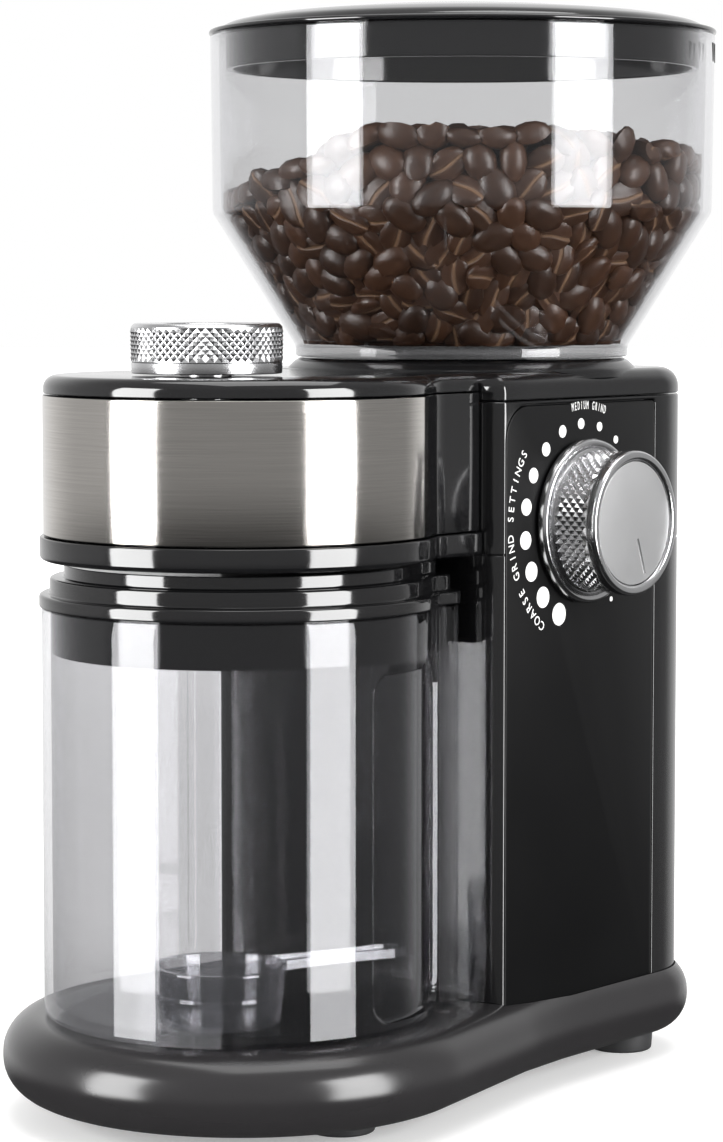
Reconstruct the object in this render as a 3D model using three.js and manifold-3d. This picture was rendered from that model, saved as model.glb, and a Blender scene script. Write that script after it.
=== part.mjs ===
// Burr coffee grinder with a clear bean hopper, a knurled grind dial and a clear grounds container.
// Millimetres, +Z up. X = 0 is the plane of symmetry of the housing, +X is the side of the grind
// dial, -Y is the front, and the origin is the centre of the bounding box's bottom face.

import * as THREE from 'three';
import { mergeVertices } from 'three/addons/utils/BufferGeometryUtils.js';
import Module from 'manifold-3d';

const wasm = await Module();
wasm.setup();

// ---------------------------------------------------------------- driving dimensions

const GAP = 0.3;                    // clearance between neighbouring pieces
const LATHE_STEPS = 32;             // facets of a large turned piece
const SMALL_STEPS = 12;             // facets of a small turned piece

const HEIGHT = 275;                 // feet to the top of the hopper lid
const HOPPER_Y = 40.5;              // hopper, burrs and spindle share this axis
const HEAD_Y = -48.5;               // head and container share this axis

const FOOT_HEIGHT = 5;
const FOOT_RADIUS = 8.5;
const FOOT_PLACES = [[33, -50], [-33, -50], [33, 68], [-33, 68]];

const BASE_FRONT_Y = -46.5;         // centre of the round front of the base
const BASE_FRONT_RADIUS = 60;
const BASE_HALF_WIDTH = 50;
const BASE_BACK_Y = 91;
const BASE_CORNER = 24;
const BASE_FLARE_END_Y = 15;        // where the round front's tangent meets the straight side
const BASE_TOP = 25;
const BASE_ROUND = 9.5;             // how far the base curves in above and below its widest line

const TOWER_HALF_WIDTH = 46.5;
const TOWER_FRONT_Y = -5.5;
const TOWER_BACK_Y = 88.5;
const TOWER_FRONT_CORNER = 5;
const TOWER_BACK_CORNER = 22;
const TOWER_WALL = 4;
const TOWER_FOOT = 15.3;
const TOWER_TOP = 174.5;
const DOOR_HALF_WIDTH = 36.5;       // opening from the tower into the head
const PANEL_DEPTH = 1.5;
const PANEL_FRONT_Y = -2.5;
const PANEL_BACK_Y = 62.5;
const PANEL_TOP = 173.5;

const DECK_TOP = 181.5;             // top of the tower cap and of the head cover
const SEAT_TOP = 184.1;             // raised platform under the hopper
const SEAT_RADIUS = 43;
const SEAT_FOOT_RADIUS = 46;
const CAP_PLATE = 2.5;

const HEAD_RADIUS = 47.9;
const HEAD_NECK_HALF_WIDTH = 41;
const LIP_BOTTOM = 136.8;
const BAND_BOTTOM = 142.8;
const BAND_TOP = 176.8;
const BAND_THICKNESS = 1;
const BAND_HALF_ANGLE = THREE.MathUtils.degToRad(111.4);

const HOPPER_WALL = 2.2;
const HOPPER_NECK_RADIUS = 19.5;
const HOPPER_NECK_BOTTOM = 176;
const HOPPER_RING_RADIUS = 43.5;
const HOPPER_CONE_BOTTOM = 187.2;
const HOPPER_CONE_TOP = 221.7;
const HOPPER_RADIUS = 65.1;
const HOPPER_RIM_RADIUS = 65.6;
const HOPPER_RIM = 267.2;
const LID_RADIUS = 66;
const LID_SKIRT_RADIUS = 61.5;
const LID_SKIRT_BOTTOM = 258.7;
const LUG_COUNT = 3;

const CONTAINER_RADIUS = 48.4;
const CONTAINER_HALF_WIDTH = 40;
const CONTAINER_BACK = 39.5;        // rear wall, measured back from the container's axis
const CONTAINER_CORNER = 6;
const CONTAINER_WALL = 2.2;
const CONTAINER_TOP = 125;
const GRIP_BOTTOM = 28;
const GRIP_TOP = 112;
const GRIP_DEPTH = 1.2;
const GRIP_ANGLE = THREE.MathUtils.degToRad(42);

const KNOB_Y = -60.5;
const KNOB_RADIUS = 18.4;
const KNOB_TOP = 194;
const BUTTON_RADIUS = 10;
const BUTTON_TRAVEL = 2.5;

const DIAL_Y = 30.6;
const DIAL_Z = 143.6;
const DIAL_LENGTH = 16.3;           // how far the dial stands out of the side panel
const DIAL_FLANGE_RADIUS = 20.8;
const DIAL_RADIUS = 18.2;
const POINTER_ANGLE = THREE.MathUtils.degToRad(-70);

const ADJUSTER_TEETH = 60;          // teeth of a full circle at the adjusting ring's pitch
const SECTOR_TEETH = 15;            // teeth that the ring has, enough for the dial's range
const DIAL_PINION_TEETH = 12;
const ADJUSTER_GEAR_BOTTOM = 151.4;

const GEAR_MODULE = 1;
const SPINDLE_TEETH = 36;
const MOTOR_TEETH = 12;
const MOTOR_Y = HOPPER_Y + (SPINDLE_TEETH + MOTOR_TEETH) * GEAR_MODULE / 2 + GAP;
const GEAR_BOTTOM = 112;
const GEAR_HEIGHT = 6;
const DECK_PLATE = 104;             // underside of the gear deck

const CHUTE_BOTTOM = 137.2;
const CHUTE_TOP = 149;
const CHAMBER_RADIUS = 26;
const CHAMBER_TOP = 150.5;
const SPINDLE_RADIUS = 4;

// ---------------------------------------------------------------- materials

const plain = (color, roughness, metalness = 0, extra = {}) =>
  new THREE.MeshStandardMaterial({ color, roughness, metalness, ...extra });
const clear = (color, opacity) =>
  plain(color, 0.06, 0, { transparent: true, opacity });

const GLOSS_BLACK = plain(0x0b0b0c, 0.18);
const SATIN_BLACK = plain(0x131314, 0.35);
const CHARCOAL = plain(0x2a292b, 0.42);
const RUBBER = plain(0x1d1d1f, 0.85);
const BRUSHED_STEEL = plain(0xb9b5b0, 0.32, 1);
const TURNED_ALUMINIUM = plain(0xc9cacd, 0.28, 1);
const CLEAR_PLASTIC = clear(0xd9dadc, 0.3);
const SMOKY_PLASTIC = clear(0x8f9094, 0.4);
const NYLON = plain(0xd8d6cf, 0.5);
const STEEL = plain(0x8e9092, 0.35, 1);
const BRONZE = plain(0xa8824a, 0.4, 1);
const BOARD_GREEN = plain(0x1f5a3a, 0.5);

// ---------------------------------------------------------------- solids, joins and cuts

/** A manifold made of a closed geometry, turned right side out if it needs to be. */
function solid(geometry) {
  const bare = geometry.index ? geometry.toNonIndexed() : geometry.clone();
  bare.deleteAttribute('normal');
  bare.deleteAttribute('uv');
  const merged = mergeVertices(bare, 1e-4);
  const vertProperties = new Float32Array(merged.attributes.position.array);
  const corners = Array.from(merged.index.array);
  const triVerts = [];
  for (let i = 0; i < corners.length; i += 3) {
    const [a, b, c] = corners.slice(i, i + 3);
    if (a !== b && b !== c && a !== c) triVerts.push(a, b, c);
  }
  if (signedVolume(vertProperties, triVerts) < 0) triVerts.reverse();
  const mesh = new wasm.Mesh({ numProp: 3, vertProperties, triVerts: new Uint32Array(triVerts) });
  return new wasm.Manifold(mesh);
}

/** Six times the volume inside the triangles: negative when they face inwards. */
function signedVolume(points, triangles) {
  const corner = (k) => new THREE.Vector3().fromArray(points, 3 * k);
  let total = 0;
  for (let i = 0; i < triangles.length; i += 3) {
    const [a, b, c] = [0, 1, 2].map((k) => corner(triangles[i + k]));
    total += a.dot(b.cross(c));
  }
  return total;
}

/** The joined pieces, less whatever is cut away. */
function shape3d(pieces, cuts = []) {
  const joined = pieces.reduce((whole, piece) => whole.add(piece));
  return cuts.reduce((whole, piece) => whole.subtract(piece), joined);
}

/** A solid moved by an offset. */
function placed(piece, x, y, z) {
  return piece.translate([x, y, z]);
}

/** A solid of revolution about Z from a closed outline of [radius, height] points. */
function turned(outline, steps = LATHE_STEPS) {
  const points = [...outline, outline[0]].map(([r, z]) => new THREE.Vector2(r, z));
  return solid(new THREE.LatheGeometry(points, steps).rotateX(Math.PI / 2));
}

/** A ring or tube between two radii and two heights; an inner radius of 0 makes a rod. */
function ring(outer, inner, low, high, steps = SMALL_STEPS) {
  if (inner > 0) return turned([[inner, low], [outer, low], [outer, high], [inner, high]], steps);
  const rod = new THREE.CylinderGeometry(outer, outer, high - low, steps).rotateX(Math.PI / 2);
  return solid(rod.translate(0, 0, (low + high) / 2));
}

/** A box given by its lowest and highest corners. */
function block(low, high) {
  const size = high.map((value, i) => value - low[i]);
  const centre = high.map((value, i) => (value + low[i]) / 2);
  return solid(new THREE.BoxGeometry(...size).translate(...centre));
}

/** A plan outline pulled up from one height to another. */
function pulled(outline, low, high, curveSegments = 6) {
  const options = { depth: high - low, bevelEnabled: false, curveSegments };
  return solid(new THREE.ExtrudeGeometry(outline, options).translate(0, 0, low));
}

/** A solid through one outline after another: each level is the outline's inset and its height. */
function lofted(outlineOf, levels, curveSegments = 6) {
  const rings = levels.map(([inset]) => outlineOf(inset).extractPoints(curveSegments).shape);
  const count = rings[0].length;
  const positions = levels.flatMap(([, z], k) => rings[k].flatMap((point) => [point.x, point.y, z]));
  const walls = levels.slice(1).flatMap((_, k) => rings[0].flatMap((__, i) => {
    const low = k * count;
    const next = (i + 1) % count;
    return [low + i, low + next, low + count + next, low + i, low + count + next, low + count + i];
  }));
  const last = (levels.length - 1) * count;
  const floor = THREE.ShapeUtils.triangulateShape(rings[0], []).flatMap(([i, j, k]) => [i, k, j]);
  const roof = THREE.ShapeUtils.triangulateShape(rings.at(-1), []).flat().map((i) => last + i);
  const geometry = new THREE.BufferGeometry();
  geometry.setAttribute('position', new THREE.BufferAttribute(new Float32Array(positions), 3));
  geometry.setIndex([...walls, ...floor, ...roof]);
  return solid(geometry);
}

/** Levels of a quarter ellipse that ends at a height: the inset grows to the full round at the top. */
function roundedEdge(round, rise, high, steps = 3) {
  return Array.from({ length: steps + 1 }, (_, k) => {
    const angle = Math.PI / 2 * k / steps;
    return [round * (1 - Math.cos(angle)), high - rise * (1 - Math.sin(angle))];
  });
}

/** A plan outline pulled up, with its edges rounded off above and below. */
function pebble(outlineOf, low, high, round) {
  const rise = (high - low) / 2 - 0.5;
  const upper = roundedEdge(round, rise, high);
  const lower = upper.map(([inset, z]) => [inset, low + high - z]).reverse();
  return lofted(outlineOf, [...lower, ...upper]);
}

/** A plan outline pulled up, with only its upper edge rounded. */
function domed(outlineOf, low, high, round) {
  return lofted(outlineOf, [[0, low], ...roundedEdge(round, round, high)]);
}

/** The geometry of a finished manifold. */
function geometryOf(manifold) {
  const mesh = manifold.getMesh();
  const geometry = new THREE.BufferGeometry();
  const corners = new Float32Array(mesh.vertProperties);
  geometry.setAttribute('position', new THREE.BufferAttribute(corners, 3));
  geometry.setIndex(Array.from(mesh.triVerts));
  geometry.computeVertexNormals();
  return geometry;
}

/** Adds one named piece to a group. */
function add(group, name, manifold, material) {
  const mesh = new THREE.Mesh(geometryOf(manifold), material);
  mesh.name = name;
  group.add(mesh);
}

// ---------------------------------------------------------------- outlines

/** A rectangle with one radius at the two front corners and another at the two back ones. */
function towerOutline(inset) {
  const half = TOWER_HALF_WIDTH - inset;
  const front = TOWER_FRONT_Y + inset;
  const back = TOWER_BACK_Y - inset;
  const small = Math.max(TOWER_FRONT_CORNER - inset, 0.5);
  const large = TOWER_BACK_CORNER - inset;
  const outline = new THREE.Shape();
  outline.absarc(half - small, front + small, small, -Math.PI / 2, 0);
  outline.absarc(half - large, back - large, large, 0, Math.PI / 2);
  outline.absarc(-half + large, back - large, large, Math.PI / 2, Math.PI);
  outline.absarc(-half + small, front + small, small, Math.PI, 1.5 * Math.PI);
  outline.closePath();
  return outline;
}

/** The base: a round front that runs by a tangent line into straight sides and round back corners. */
function baseOutline(inset) {
  const radius = BASE_FRONT_RADIUS - inset;
  const half = BASE_HALF_WIDTH - inset;
  const corner = BASE_CORNER - inset;
  const back = BASE_BACK_Y - inset;
  const reach = new THREE.Vector2(half, BASE_FLARE_END_Y - BASE_FRONT_Y);
  const tangent = Math.atan2(reach.y, reach.x) - Math.acos(radius / reach.length());
  const outline = new THREE.Shape();
  outline.absarc(0, BASE_FRONT_Y, radius, Math.PI - tangent, 1.5 * Math.PI);
  outline.absarc(0, BASE_FRONT_Y, radius, 1.5 * Math.PI, tangent + 2 * Math.PI);
  outline.lineTo(half, BASE_FLARE_END_Y);
  outline.absarc(half - corner, back - corner, corner, 0, Math.PI / 2);
  outline.absarc(corner - half, back - corner, corner, Math.PI / 2, Math.PI);
  outline.lineTo(-half, BASE_FLARE_END_Y);
  outline.closePath();
  return outline;
}

/** A circle that runs back into a straight-sided extension, about the circle's own centre. */
function keyholeOutline(radius, halfWidth, back, corner) {
  const start = Math.asin(-halfWidth / radius) + Math.PI / 2;
  const outline = new THREE.Shape();
  outline.absarc(0, 0, radius, Math.PI - start, 1.5 * Math.PI);
  outline.absarc(0, 0, radius, 1.5 * Math.PI, start + 2 * Math.PI);
  outline.absarc(halfWidth - corner, back - corner, corner, 0, Math.PI / 2);
  outline.absarc(corner - halfWidth, back - corner, corner, Math.PI / 2, Math.PI);
  outline.closePath();
  return outline;
}

const headOutline = (inset) =>
  keyholeOutline(HEAD_RADIUS - inset, HEAD_NECK_HALF_WIDTH - inset, TOWER_FRONT_Y - GAP - HEAD_Y, 0.5);
const containerOutline = (inset) => keyholeOutline(CONTAINER_RADIUS - inset,
  CONTAINER_HALF_WIDTH - inset, CONTAINER_BACK - inset, Math.max(CONTAINER_CORNER - inset, 1));

/** A slice of a ring between two radii and two angles. */
function ringSlice(outer, inner, from, to) {
  const outline = new THREE.Shape();
  outline.absarc(0, 0, outer, from, to);
  outline.absarc(0, 0, inner, to, from, true);
  outline.closePath();
  return outline;
}

/** A spur gear outline with straight-sided teeth a little thinner than their gaps. */
function gearOutline(teeth, bore) {
  const pitch = teeth * GEAR_MODULE / 2;
  const step = 2 * Math.PI / teeth;
  const corners = [[-0.3, -1.25], [-0.14, 0.85], [0.14, 0.85], [0.3, -1.25]];
  const outline = new THREE.Shape();
  for (let k = 0; k < teeth; k += 1) {
    for (const [turn, height] of corners) {
      const angle = (k + turn) * step;
      const radius = pitch + height * GEAR_MODULE;
      const x = radius * Math.cos(angle);
      const y = radius * Math.sin(angle);
      if (k === 0 && turn === corners[0][0]) outline.moveTo(x, y);
      else outline.lineTo(x, y);
    }
  }
  outline.closePath();
  const hole = new THREE.Path();
  hole.absarc(0, 0, bore, 0, 2 * Math.PI, true);
  outline.holes.push(hole);
  return outline;
}

/** A fluted cone: a toothed outline whose radius shrinks and whose teeth twist with height. */
function flutedCone(flutes, bottomRadius, topRadius, low, high, depth) {
  const outline = new THREE.Shape();
  for (let k = 0; k < 2 * flutes; k += 1) {
    const radius = k % 2 ? bottomRadius - depth : bottomRadius;
    const angle = Math.PI * (k + (k % 2 ? 0.35 : 0)) / flutes;
    const x = radius * Math.cos(angle);
    const y = radius * Math.sin(angle);
    if (k === 0) outline.moveTo(x, y);
    else outline.lineTo(x, y);
  }
  outline.closePath();
  const steps = 3;
  const geometry = new THREE.ExtrudeGeometry(outline, { depth: high - low, bevelEnabled: false, steps });
  const position = geometry.attributes.position;
  const twist = 0.5;
  for (let i = 0; i < position.count; i += 1) {
    const part = position.getZ(i) / (high - low);
    const scale = THREE.MathUtils.lerp(1, topRadius / bottomRadius, part);
    const point = new THREE.Vector2(position.getX(i), position.getY(i)).multiplyScalar(scale);
    point.rotateAround(new THREE.Vector2(0, 0), twist * part);
    position.setXY(i, point.x, point.y);
  }
  return solid(geometry.translate(0, 0, low));
}

// ---------------------------------------------------------------- assemblies

const grinder = new THREE.Group();

/** The flared base, its underside plate, four screws and four rubber feet. */
function addBase(group) {
  const whole = pebble(baseOutline, FOOT_HEIGHT, BASE_TOP, BASE_ROUND);
  const towerPocket = pulled(towerOutline(-GAP), TOWER_FOOT - GAP, BASE_TOP + 1);
  const plateInset = 11.5;
  const hollow = pulled(baseOutline(plateInset), FOOT_HEIGHT - 1, TOWER_FOOT - 3);
  const frontHollow = placed(ring(BASE_FRONT_RADIUS - 16, 0, FOOT_HEIGHT, BASE_TOP - 3, LATHE_STEPS),
    0, BASE_FRONT_Y, 0);
  const frontRoom = frontHollow.subtract(block([-80, TOWER_FRONT_Y - 3, 0], [80, 80, BASE_TOP]));
  const screws = [[24, -28], [-24, -28], [24, 52], [-24, 52]];
  const plateBottom = FOOT_HEIGHT + GAP;
  const plateTop = plateBottom + 2;
  const bosses = screws.map(([x, y]) => {
    const roof = y < TOWER_FRONT_Y ? BASE_TOP : TOWER_FOOT;
    return placed(ring(4, 1.8, plateTop + GAP, roof - 2), x, y, 0);
  });
  const shell = shape3d([whole], [towerPocket, hollow, frontRoom]);
  add(group, 'base_shell', shape3d([shell, ...bosses]), CHARCOAL);

  const plate = pulled(baseOutline(plateInset + GAP), plateBottom, plateTop);
  const plateHoles = screws.map(([x, y]) => placed(ring(1.8, 0, 0, plateTop + 1), x, y, 0));
  add(group, 'base_plate', shape3d([plate], plateHoles), SATIN_BLACK);

  const head = ring(3.2, 0, plateBottom - GAP - 1.4, plateBottom - GAP);
  const screw = head.add(ring(1.4, 0, plateBottom - GAP - 0.5, plateTop + 4, 8));
  screws.forEach(([x, y], k) => add(group, `base_screw_${k + 1}`, placed(screw, x, y, 0), STEEL));

  const foot = turned([[0, 0], [FOOT_RADIUS - 1, 0], [FOOT_RADIUS, 1], [FOOT_RADIUS, FOOT_HEIGHT],
    [0, FOOT_HEIGHT]], SMALL_STEPS);
  const names = ['foot_front_right', 'foot_front_left', 'foot_rear_right', 'foot_rear_left'];
  names.forEach((name, k) => add(group, name, placed(foot, ...FOOT_PLACES[k], 0), RUBBER));
}

/** The outline of a side panel, in Y and Z: one large radius at its upper front corner. */
function panelOutline(inset) {
  const front = PANEL_FRONT_Y + inset;
  const back = PANEL_BACK_Y - inset;
  const low = TOWER_FOOT + 3 + inset;
  const top = PANEL_TOP - inset;
  const round = 9 - inset;
  const outline = new THREE.Shape();
  outline.moveTo(front, low);
  outline.lineTo(back, low);
  outline.lineTo(back, top);
  outline.absarc(front + round, top - round, round, Math.PI / 2, Math.PI);
  outline.closePath();
  return outline;
}

/** A slab with a side-view outline, between two X values. */
function sideSlab(outline, low, high) {
  const turnUp = new THREE.Matrix4().makeBasis(
    new THREE.Vector3(0, 1, 0), new THREE.Vector3(0, 0, 1), new THREE.Vector3(1, 0, 0));
  const options = { depth: high - low, bevelEnabled: false, curveSegments: 10 };
  const geometry = new THREE.ExtrudeGeometry(outline, options).translate(0, 0, low);
  return solid(geometry.applyMatrix4(turnUp));
}

/** A rod along X through the dial's axis. */
function dialRod(radius, low, high) {
  return ring(radius, 0, low, high).rotate([0, 90, 0]).translate([0, DIAL_Y, DIAL_Z]);
}

/** The tower: casing, two inset side panels, cap with the hopper seat, cord inlet. */
function addTower(group) {
  const outside = pulled(towerOutline(0), TOWER_FOOT, TOWER_TOP);
  const inside = pulled(towerOutline(TOWER_WALL), TOWER_FOOT - 1, TOWER_TOP + 1);
  const deep = TOWER_HALF_WIDTH - PANEL_DEPTH - GAP;
  const recess = [sideSlab(panelOutline(0), deep, deep + 9), sideSlab(panelOutline(0), -deep - 9, -deep)];
  const headDoor = block([-DOOR_HALF_WIDTH, TOWER_FRONT_Y - 9, LIP_BOTTOM + 0.1],
    [DOOR_HALF_WIDTH, TOWER_FRONT_Y + 9, TOWER_TOP + 1]);
  const inletZ = 32;
  const inletHole = ring(6.3, 0, -20, 20).rotate([90, 0, 0]).translate([0, TOWER_BACK_Y, inletZ]);
  const ventCount = 5;
  const vents = Array.from({ length: ventCount }, (_, k) => {
    const low = 56 + 8 * k;
    return block([-18, TOWER_BACK_Y - 9, low], [18, TOWER_BACK_Y + 9, low + 3]);
  });
  const dialHole = dialRod(6, 30, 60);
  add(group, 'tower_casing',
    shape3d([outside], [inside, ...recess, headDoor, inletHole, dialHole, ...vents]), GLOSS_BLACK);

  const right = sideSlab(panelOutline(GAP), TOWER_HALF_WIDTH - PANEL_DEPTH, TOWER_HALF_WIDTH);
  add(group, 'side_panel_right', shape3d([right], [dialHole]), SATIN_BLACK);
  const left = sideSlab(panelOutline(GAP), -TOWER_HALF_WIDTH, PANEL_DEPTH - TOWER_HALF_WIDTH);
  add(group, 'side_panel_left', left, SATIN_BLACK);

  const bush = ring(5.7, 3.8, 0, TOWER_WALL).rotate([0, 90, 0]);
  add(group, 'dial_bush', bush.translate([TOWER_HALF_WIDTH - TOWER_WALL, DIAL_Y, DIAL_Z]), NYLON);

  const inlet = turned([[3.5, -6], [6, -6], [6, 0.5], [8, 0.5], [6.5, 3], [3.5, 3]], SMALL_STEPS);
  add(group, 'cord_inlet', inlet.rotate([-90, 0, 0]).translate([0, TOWER_BACK_Y, inletZ]), RUBBER);

  const capLow = TOWER_TOP + GAP;
  const cap = domed(towerOutline, capLow, DECK_TOP, 5);
  const capRoom = pulled(towerOutline(2.5), capLow - 1, DECK_TOP - CAP_PLATE);
  const capDoor = block([-DOOR_HALF_WIDTH, TOWER_FRONT_Y - 9, capLow - 1],
    [DOOR_HALF_WIDTH, TOWER_FRONT_Y + 9, DECK_TOP - CAP_PLATE]);
  const seat = turned([[25, DECK_TOP - 1], [SEAT_FOOT_RADIUS, DECK_TOP - 1], [SEAT_RADIUS, SEAT_TOP],
    [25, SEAT_TOP]]);
  const neckHole = ring(HOPPER_NECK_RADIUS + 0.7, 0, capLow, SEAT_TOP + 1, LATHE_STEPS);
  const notches = lugs(1).map((lug) => lug.rotate([0, 0, 180 / LUG_COUNT]).translate([0, 0, 2.5]));
  const atHopper = (piece) => piece.translate([0, HOPPER_Y, 0]);
  const cuts = [capRoom, capDoor, atHopper(neckHole), ...notches.map(atHopper)];
  add(group, 'tower_cap', shape3d([cap, atHopper(seat)], cuts), GLOSS_BLACK);
}

/** Three bayonet lugs on the hopper's neck; a margin above 0 makes the notches that they pass through. */
function lugs(margin) {
  const half = 4 + margin;
  const rise = margin ? 9 : 0;
  const low = HOPPER_NECK_BOTTOM;
  return Array.from({ length: LUG_COUNT }, (_, k) => {
    const lug = block([HOPPER_NECK_RADIUS - 1, -half, low],
      [HOPPER_NECK_RADIUS + 3 + margin, half, low + 2 + rise]);
    return lug.rotate([0, 0, 360 * k / LUG_COUNT]);
  });
}

/** The head: lower lip, shell, steel band, top cover. */
function addHead(group) {
  const back = TOWER_FRONT_Y - HEAD_Y;
  const lip = pulled(headOutline(-0.9), LIP_BOTTOM, BAND_BOTTOM - GAP);
  const lipRoom = pulled(headOutline(2.2), LIP_BOTTOM + 2.5, BAND_BOTTOM);
  const chuteSlot = block([-15.3, -15.8, LIP_BOTTOM - 1], [15.3, back + 1, LIP_BOTTOM + 9]);
  add(group, 'head_lower', shape3d([lip], [lipRoom, chuteSlot]), GLOSS_BLACK);

  const bandAngles = [-Math.PI / 2 - BAND_HALF_ANGLE, -Math.PI / 2 + BAND_HALF_ANGLE];
  const inner = HEAD_RADIUS - BAND_THICKNESS;
  const shell = pulled(headOutline(0), BAND_BOTTOM, BAND_TOP);
  const shellRoom = pulled(headOutline(3.5), BAND_BOTTOM - 1, BAND_TOP + 1);
  const backRoom = block([-HEAD_NECK_HALF_WIDTH + 3.5, 20, BAND_BOTTOM - 1],
    [HEAD_NECK_HALF_WIDTH - 3.5, back + 9, BAND_TOP + 1]);
  const spare = 0.01;
  const bandPlan = ringSlice(HEAD_RADIUS + 3, inner - GAP, bandAngles[0] - spare, bandAngles[1] + spare);
  const bandRoom = pulled(bandPlan, BAND_BOTTOM - 1, BAND_TOP + 1, 18);
  add(group, 'head_shell', shape3d([shell], [shellRoom, backRoom, bandRoom]), GLOSS_BLACK);
  add(group, 'steel_band', pulled(ringSlice(HEAD_RADIUS, inner, ...bandAngles), BAND_BOTTOM, BAND_TOP, 18),
    BRUSHED_STEEL);

  const coverLow = BAND_TOP + GAP;
  const cover = domed((inset) => headOutline(inset + 0.2), coverLow, DECK_TOP, 3);
  const stemHole = placed(ring(6.6, 0, coverLow - 1, DECK_TOP + 1), 0, KNOB_Y - HEAD_Y, 0);
  add(group, 'head_cover', shape3d([cover], [stemHole]), GLOSS_BLACK);
}

/** The fixed works: grinding chamber, chute, feed throat, gear deck, bushes, motor, boards, switches. */
function addWorks(group) {
  const atSpindle = (piece) => piece.translate([0, HOPPER_Y, 0]);
  const atMotor = (piece) => piece.translate([0, MOTOR_Y, 0]);
  const floorLow = 133.5;
  const floorHigh = 136;
  const wall = ring(CHAMBER_RADIUS, CHAMBER_RADIUS - 2, floorHigh - 1, CHAMBER_TOP, LATHE_STEPS);
  const flange = block([-35, -24, floorLow], [35, 25, floorHigh]);
  const bushHole = ring(7.3, 0, floorLow - 1, floorHigh + 1);
  const window = block([-12.5, -40, CHUTE_BOTTOM + 2], [12.5, -15, CHUTE_TOP - 2]);
  add(group, 'grinding_chamber', atSpindle(shape3d([wall, flange], [bushHole, window])), SATIN_BLACK);

  const chute = block([-14.8, -63, CHUTE_BOTTOM], [14.8, HOPPER_Y, CHUTE_TOP]);
  const bore = block([-12.5, -60.8, CHUTE_BOTTOM + 2], [12.5, HOPPER_Y + 1, CHUTE_TOP - 2]);
  const chamberRoom = atSpindle(ring(CHAMBER_RADIUS + GAP, 0, CHUTE_BOTTOM - 1, CHUTE_TOP + 1, LATHE_STEPS));
  const outlet = placed(ring(11, 0, CHUTE_BOTTOM - 1, CHUTE_BOTTOM + 3), 0, HEAD_Y, 0);
  add(group, 'grounds_chute', shape3d([chute], [bore, chamberRoom, outlet]), SATIN_BLACK);

  const throat = turned([[12.5, 170.5], [15.5, 170.5], [26, 174.5], [26, DECK_TOP - CAP_PLATE - GAP],
    [24, DECK_TOP - CAP_PLATE - GAP], [24, 175.5], [12.5, 172]]);
  add(group, 'feed_throat', atSpindle(throat), SATIN_BLACK);

  const plate = block([-41, -1, DECK_PLATE], [41, 66, DECK_PLATE + 3]);
  const motorSeat = atMotor(ring(19.4, 0, DECK_PLATE, DECK_PLATE + 3, LATHE_STEPS));
  const posts = [[28, 19.5], [-28, 19.5], [28, 62], [-28, 62]].map(([x, y]) =>
    placed(ring(3.5, 0, DECK_PLATE + 2, floorLow - GAP, 16), x, y, 0));
  const deckHoles = [atSpindle(ring(7.3, 0, DECK_PLATE - 1, DECK_PLATE + 4)),
    atMotor(ring(6, 0, DECK_PLATE - 1, DECK_PLATE + 4))];
  add(group, 'gear_deck', shape3d([plate, motorSeat, ...posts], deckHoles), NYLON);

  const bush = (low) => atSpindle(ring(7, SPINDLE_RADIUS + GAP, low, low + 3.5));
  add(group, 'spindle_bush_upper', bush(floorLow), BRONZE);
  add(group, 'spindle_bush_lower', bush(DECK_PLATE), BRONZE);

  const canBottom = 45;
  const canTop = DECK_PLATE - GAP;
  const can = turned([[17, canBottom], [19, canBottom], [19, canTop], [5, canTop], [5, canTop - 2],
    [17, canTop - 2]]);
  add(group, 'motor_can', atMotor(can), STEEL);
  add(group, 'motor_end_cap', atMotor(ring(19, 3.2, canBottom - GAP - 3, canBottom - GAP)), NYLON);

  const board = block([-34, 2, 30], [34, 3.6, 96]);
  const parts = [block([-26, 3, 44], [-12, 12, 60]), block([4, 3, 40], [24, 9, 56])];
  add(group, 'control_board', shape3d([board, ...parts]), BOARD_GREEN);

  const selector = block([-11, KNOB_Y - 11, 160], [11, KNOB_Y + 11, 170.6]);
  const plunger = placed(ring(4.4, 0, 164, 172), 0, KNOB_Y, 0);
  add(group, 'selector_switch', shape3d([selector], [plunger]), NYLON);
}

/** The lifting hopper and its plug-in lid, about the hopper's axis. */
function addHopper(group) {
  const seatGap = SEAT_TOP + GAP;
  const thick = HOPPER_WALL;
  const body = turned([
    [HOPPER_NECK_RADIUS, HOPPER_NECK_BOTTOM], [HOPPER_NECK_RADIUS, seatGap],
    [HOPPER_RING_RADIUS, seatGap], [HOPPER_RING_RADIUS, HOPPER_CONE_BOTTOM],
    [HOPPER_RADIUS, HOPPER_CONE_TOP], [HOPPER_RIM_RADIUS, HOPPER_RIM],
    [HOPPER_RIM_RADIUS - thick, HOPPER_RIM], [HOPPER_RADIUS - thick, HOPPER_CONE_TOP + 0.6],
    [HOPPER_RING_RADIUS - 1.4, HOPPER_CONE_BOTTOM + 1.4], [HOPPER_NECK_RADIUS - thick, seatGap + 1.2],
    [HOPPER_NECK_RADIUS - thick, HOPPER_NECK_BOTTOM],
  ], 40);
  add(group, 'hopper_body', shape3d([body, ...lugs(0)]), CLEAR_PLASTIC);

  const rimLow = HOPPER_RIM + GAP;
  const lid = turned([
    [0, HEIGHT], [40, HEIGHT - 1.2], [59, HEIGHT - 4.2], [LID_RADIUS, HEIGHT - 6], [LID_RADIUS, rimLow],
    [LID_SKIRT_RADIUS + 0.2, rimLow], [LID_SKIRT_RADIUS, LID_SKIRT_BOTTOM],
    [LID_SKIRT_RADIUS - 1.8, LID_SKIRT_BOTTOM], [LID_SKIRT_RADIUS - 1.8, rimLow], [40, HEIGHT - 3.4],
    [0, HEIGHT - 2.4],
  ], 40);
  add(group, 'hopper_lid', lid, GLOSS_BLACK);
}

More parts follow.
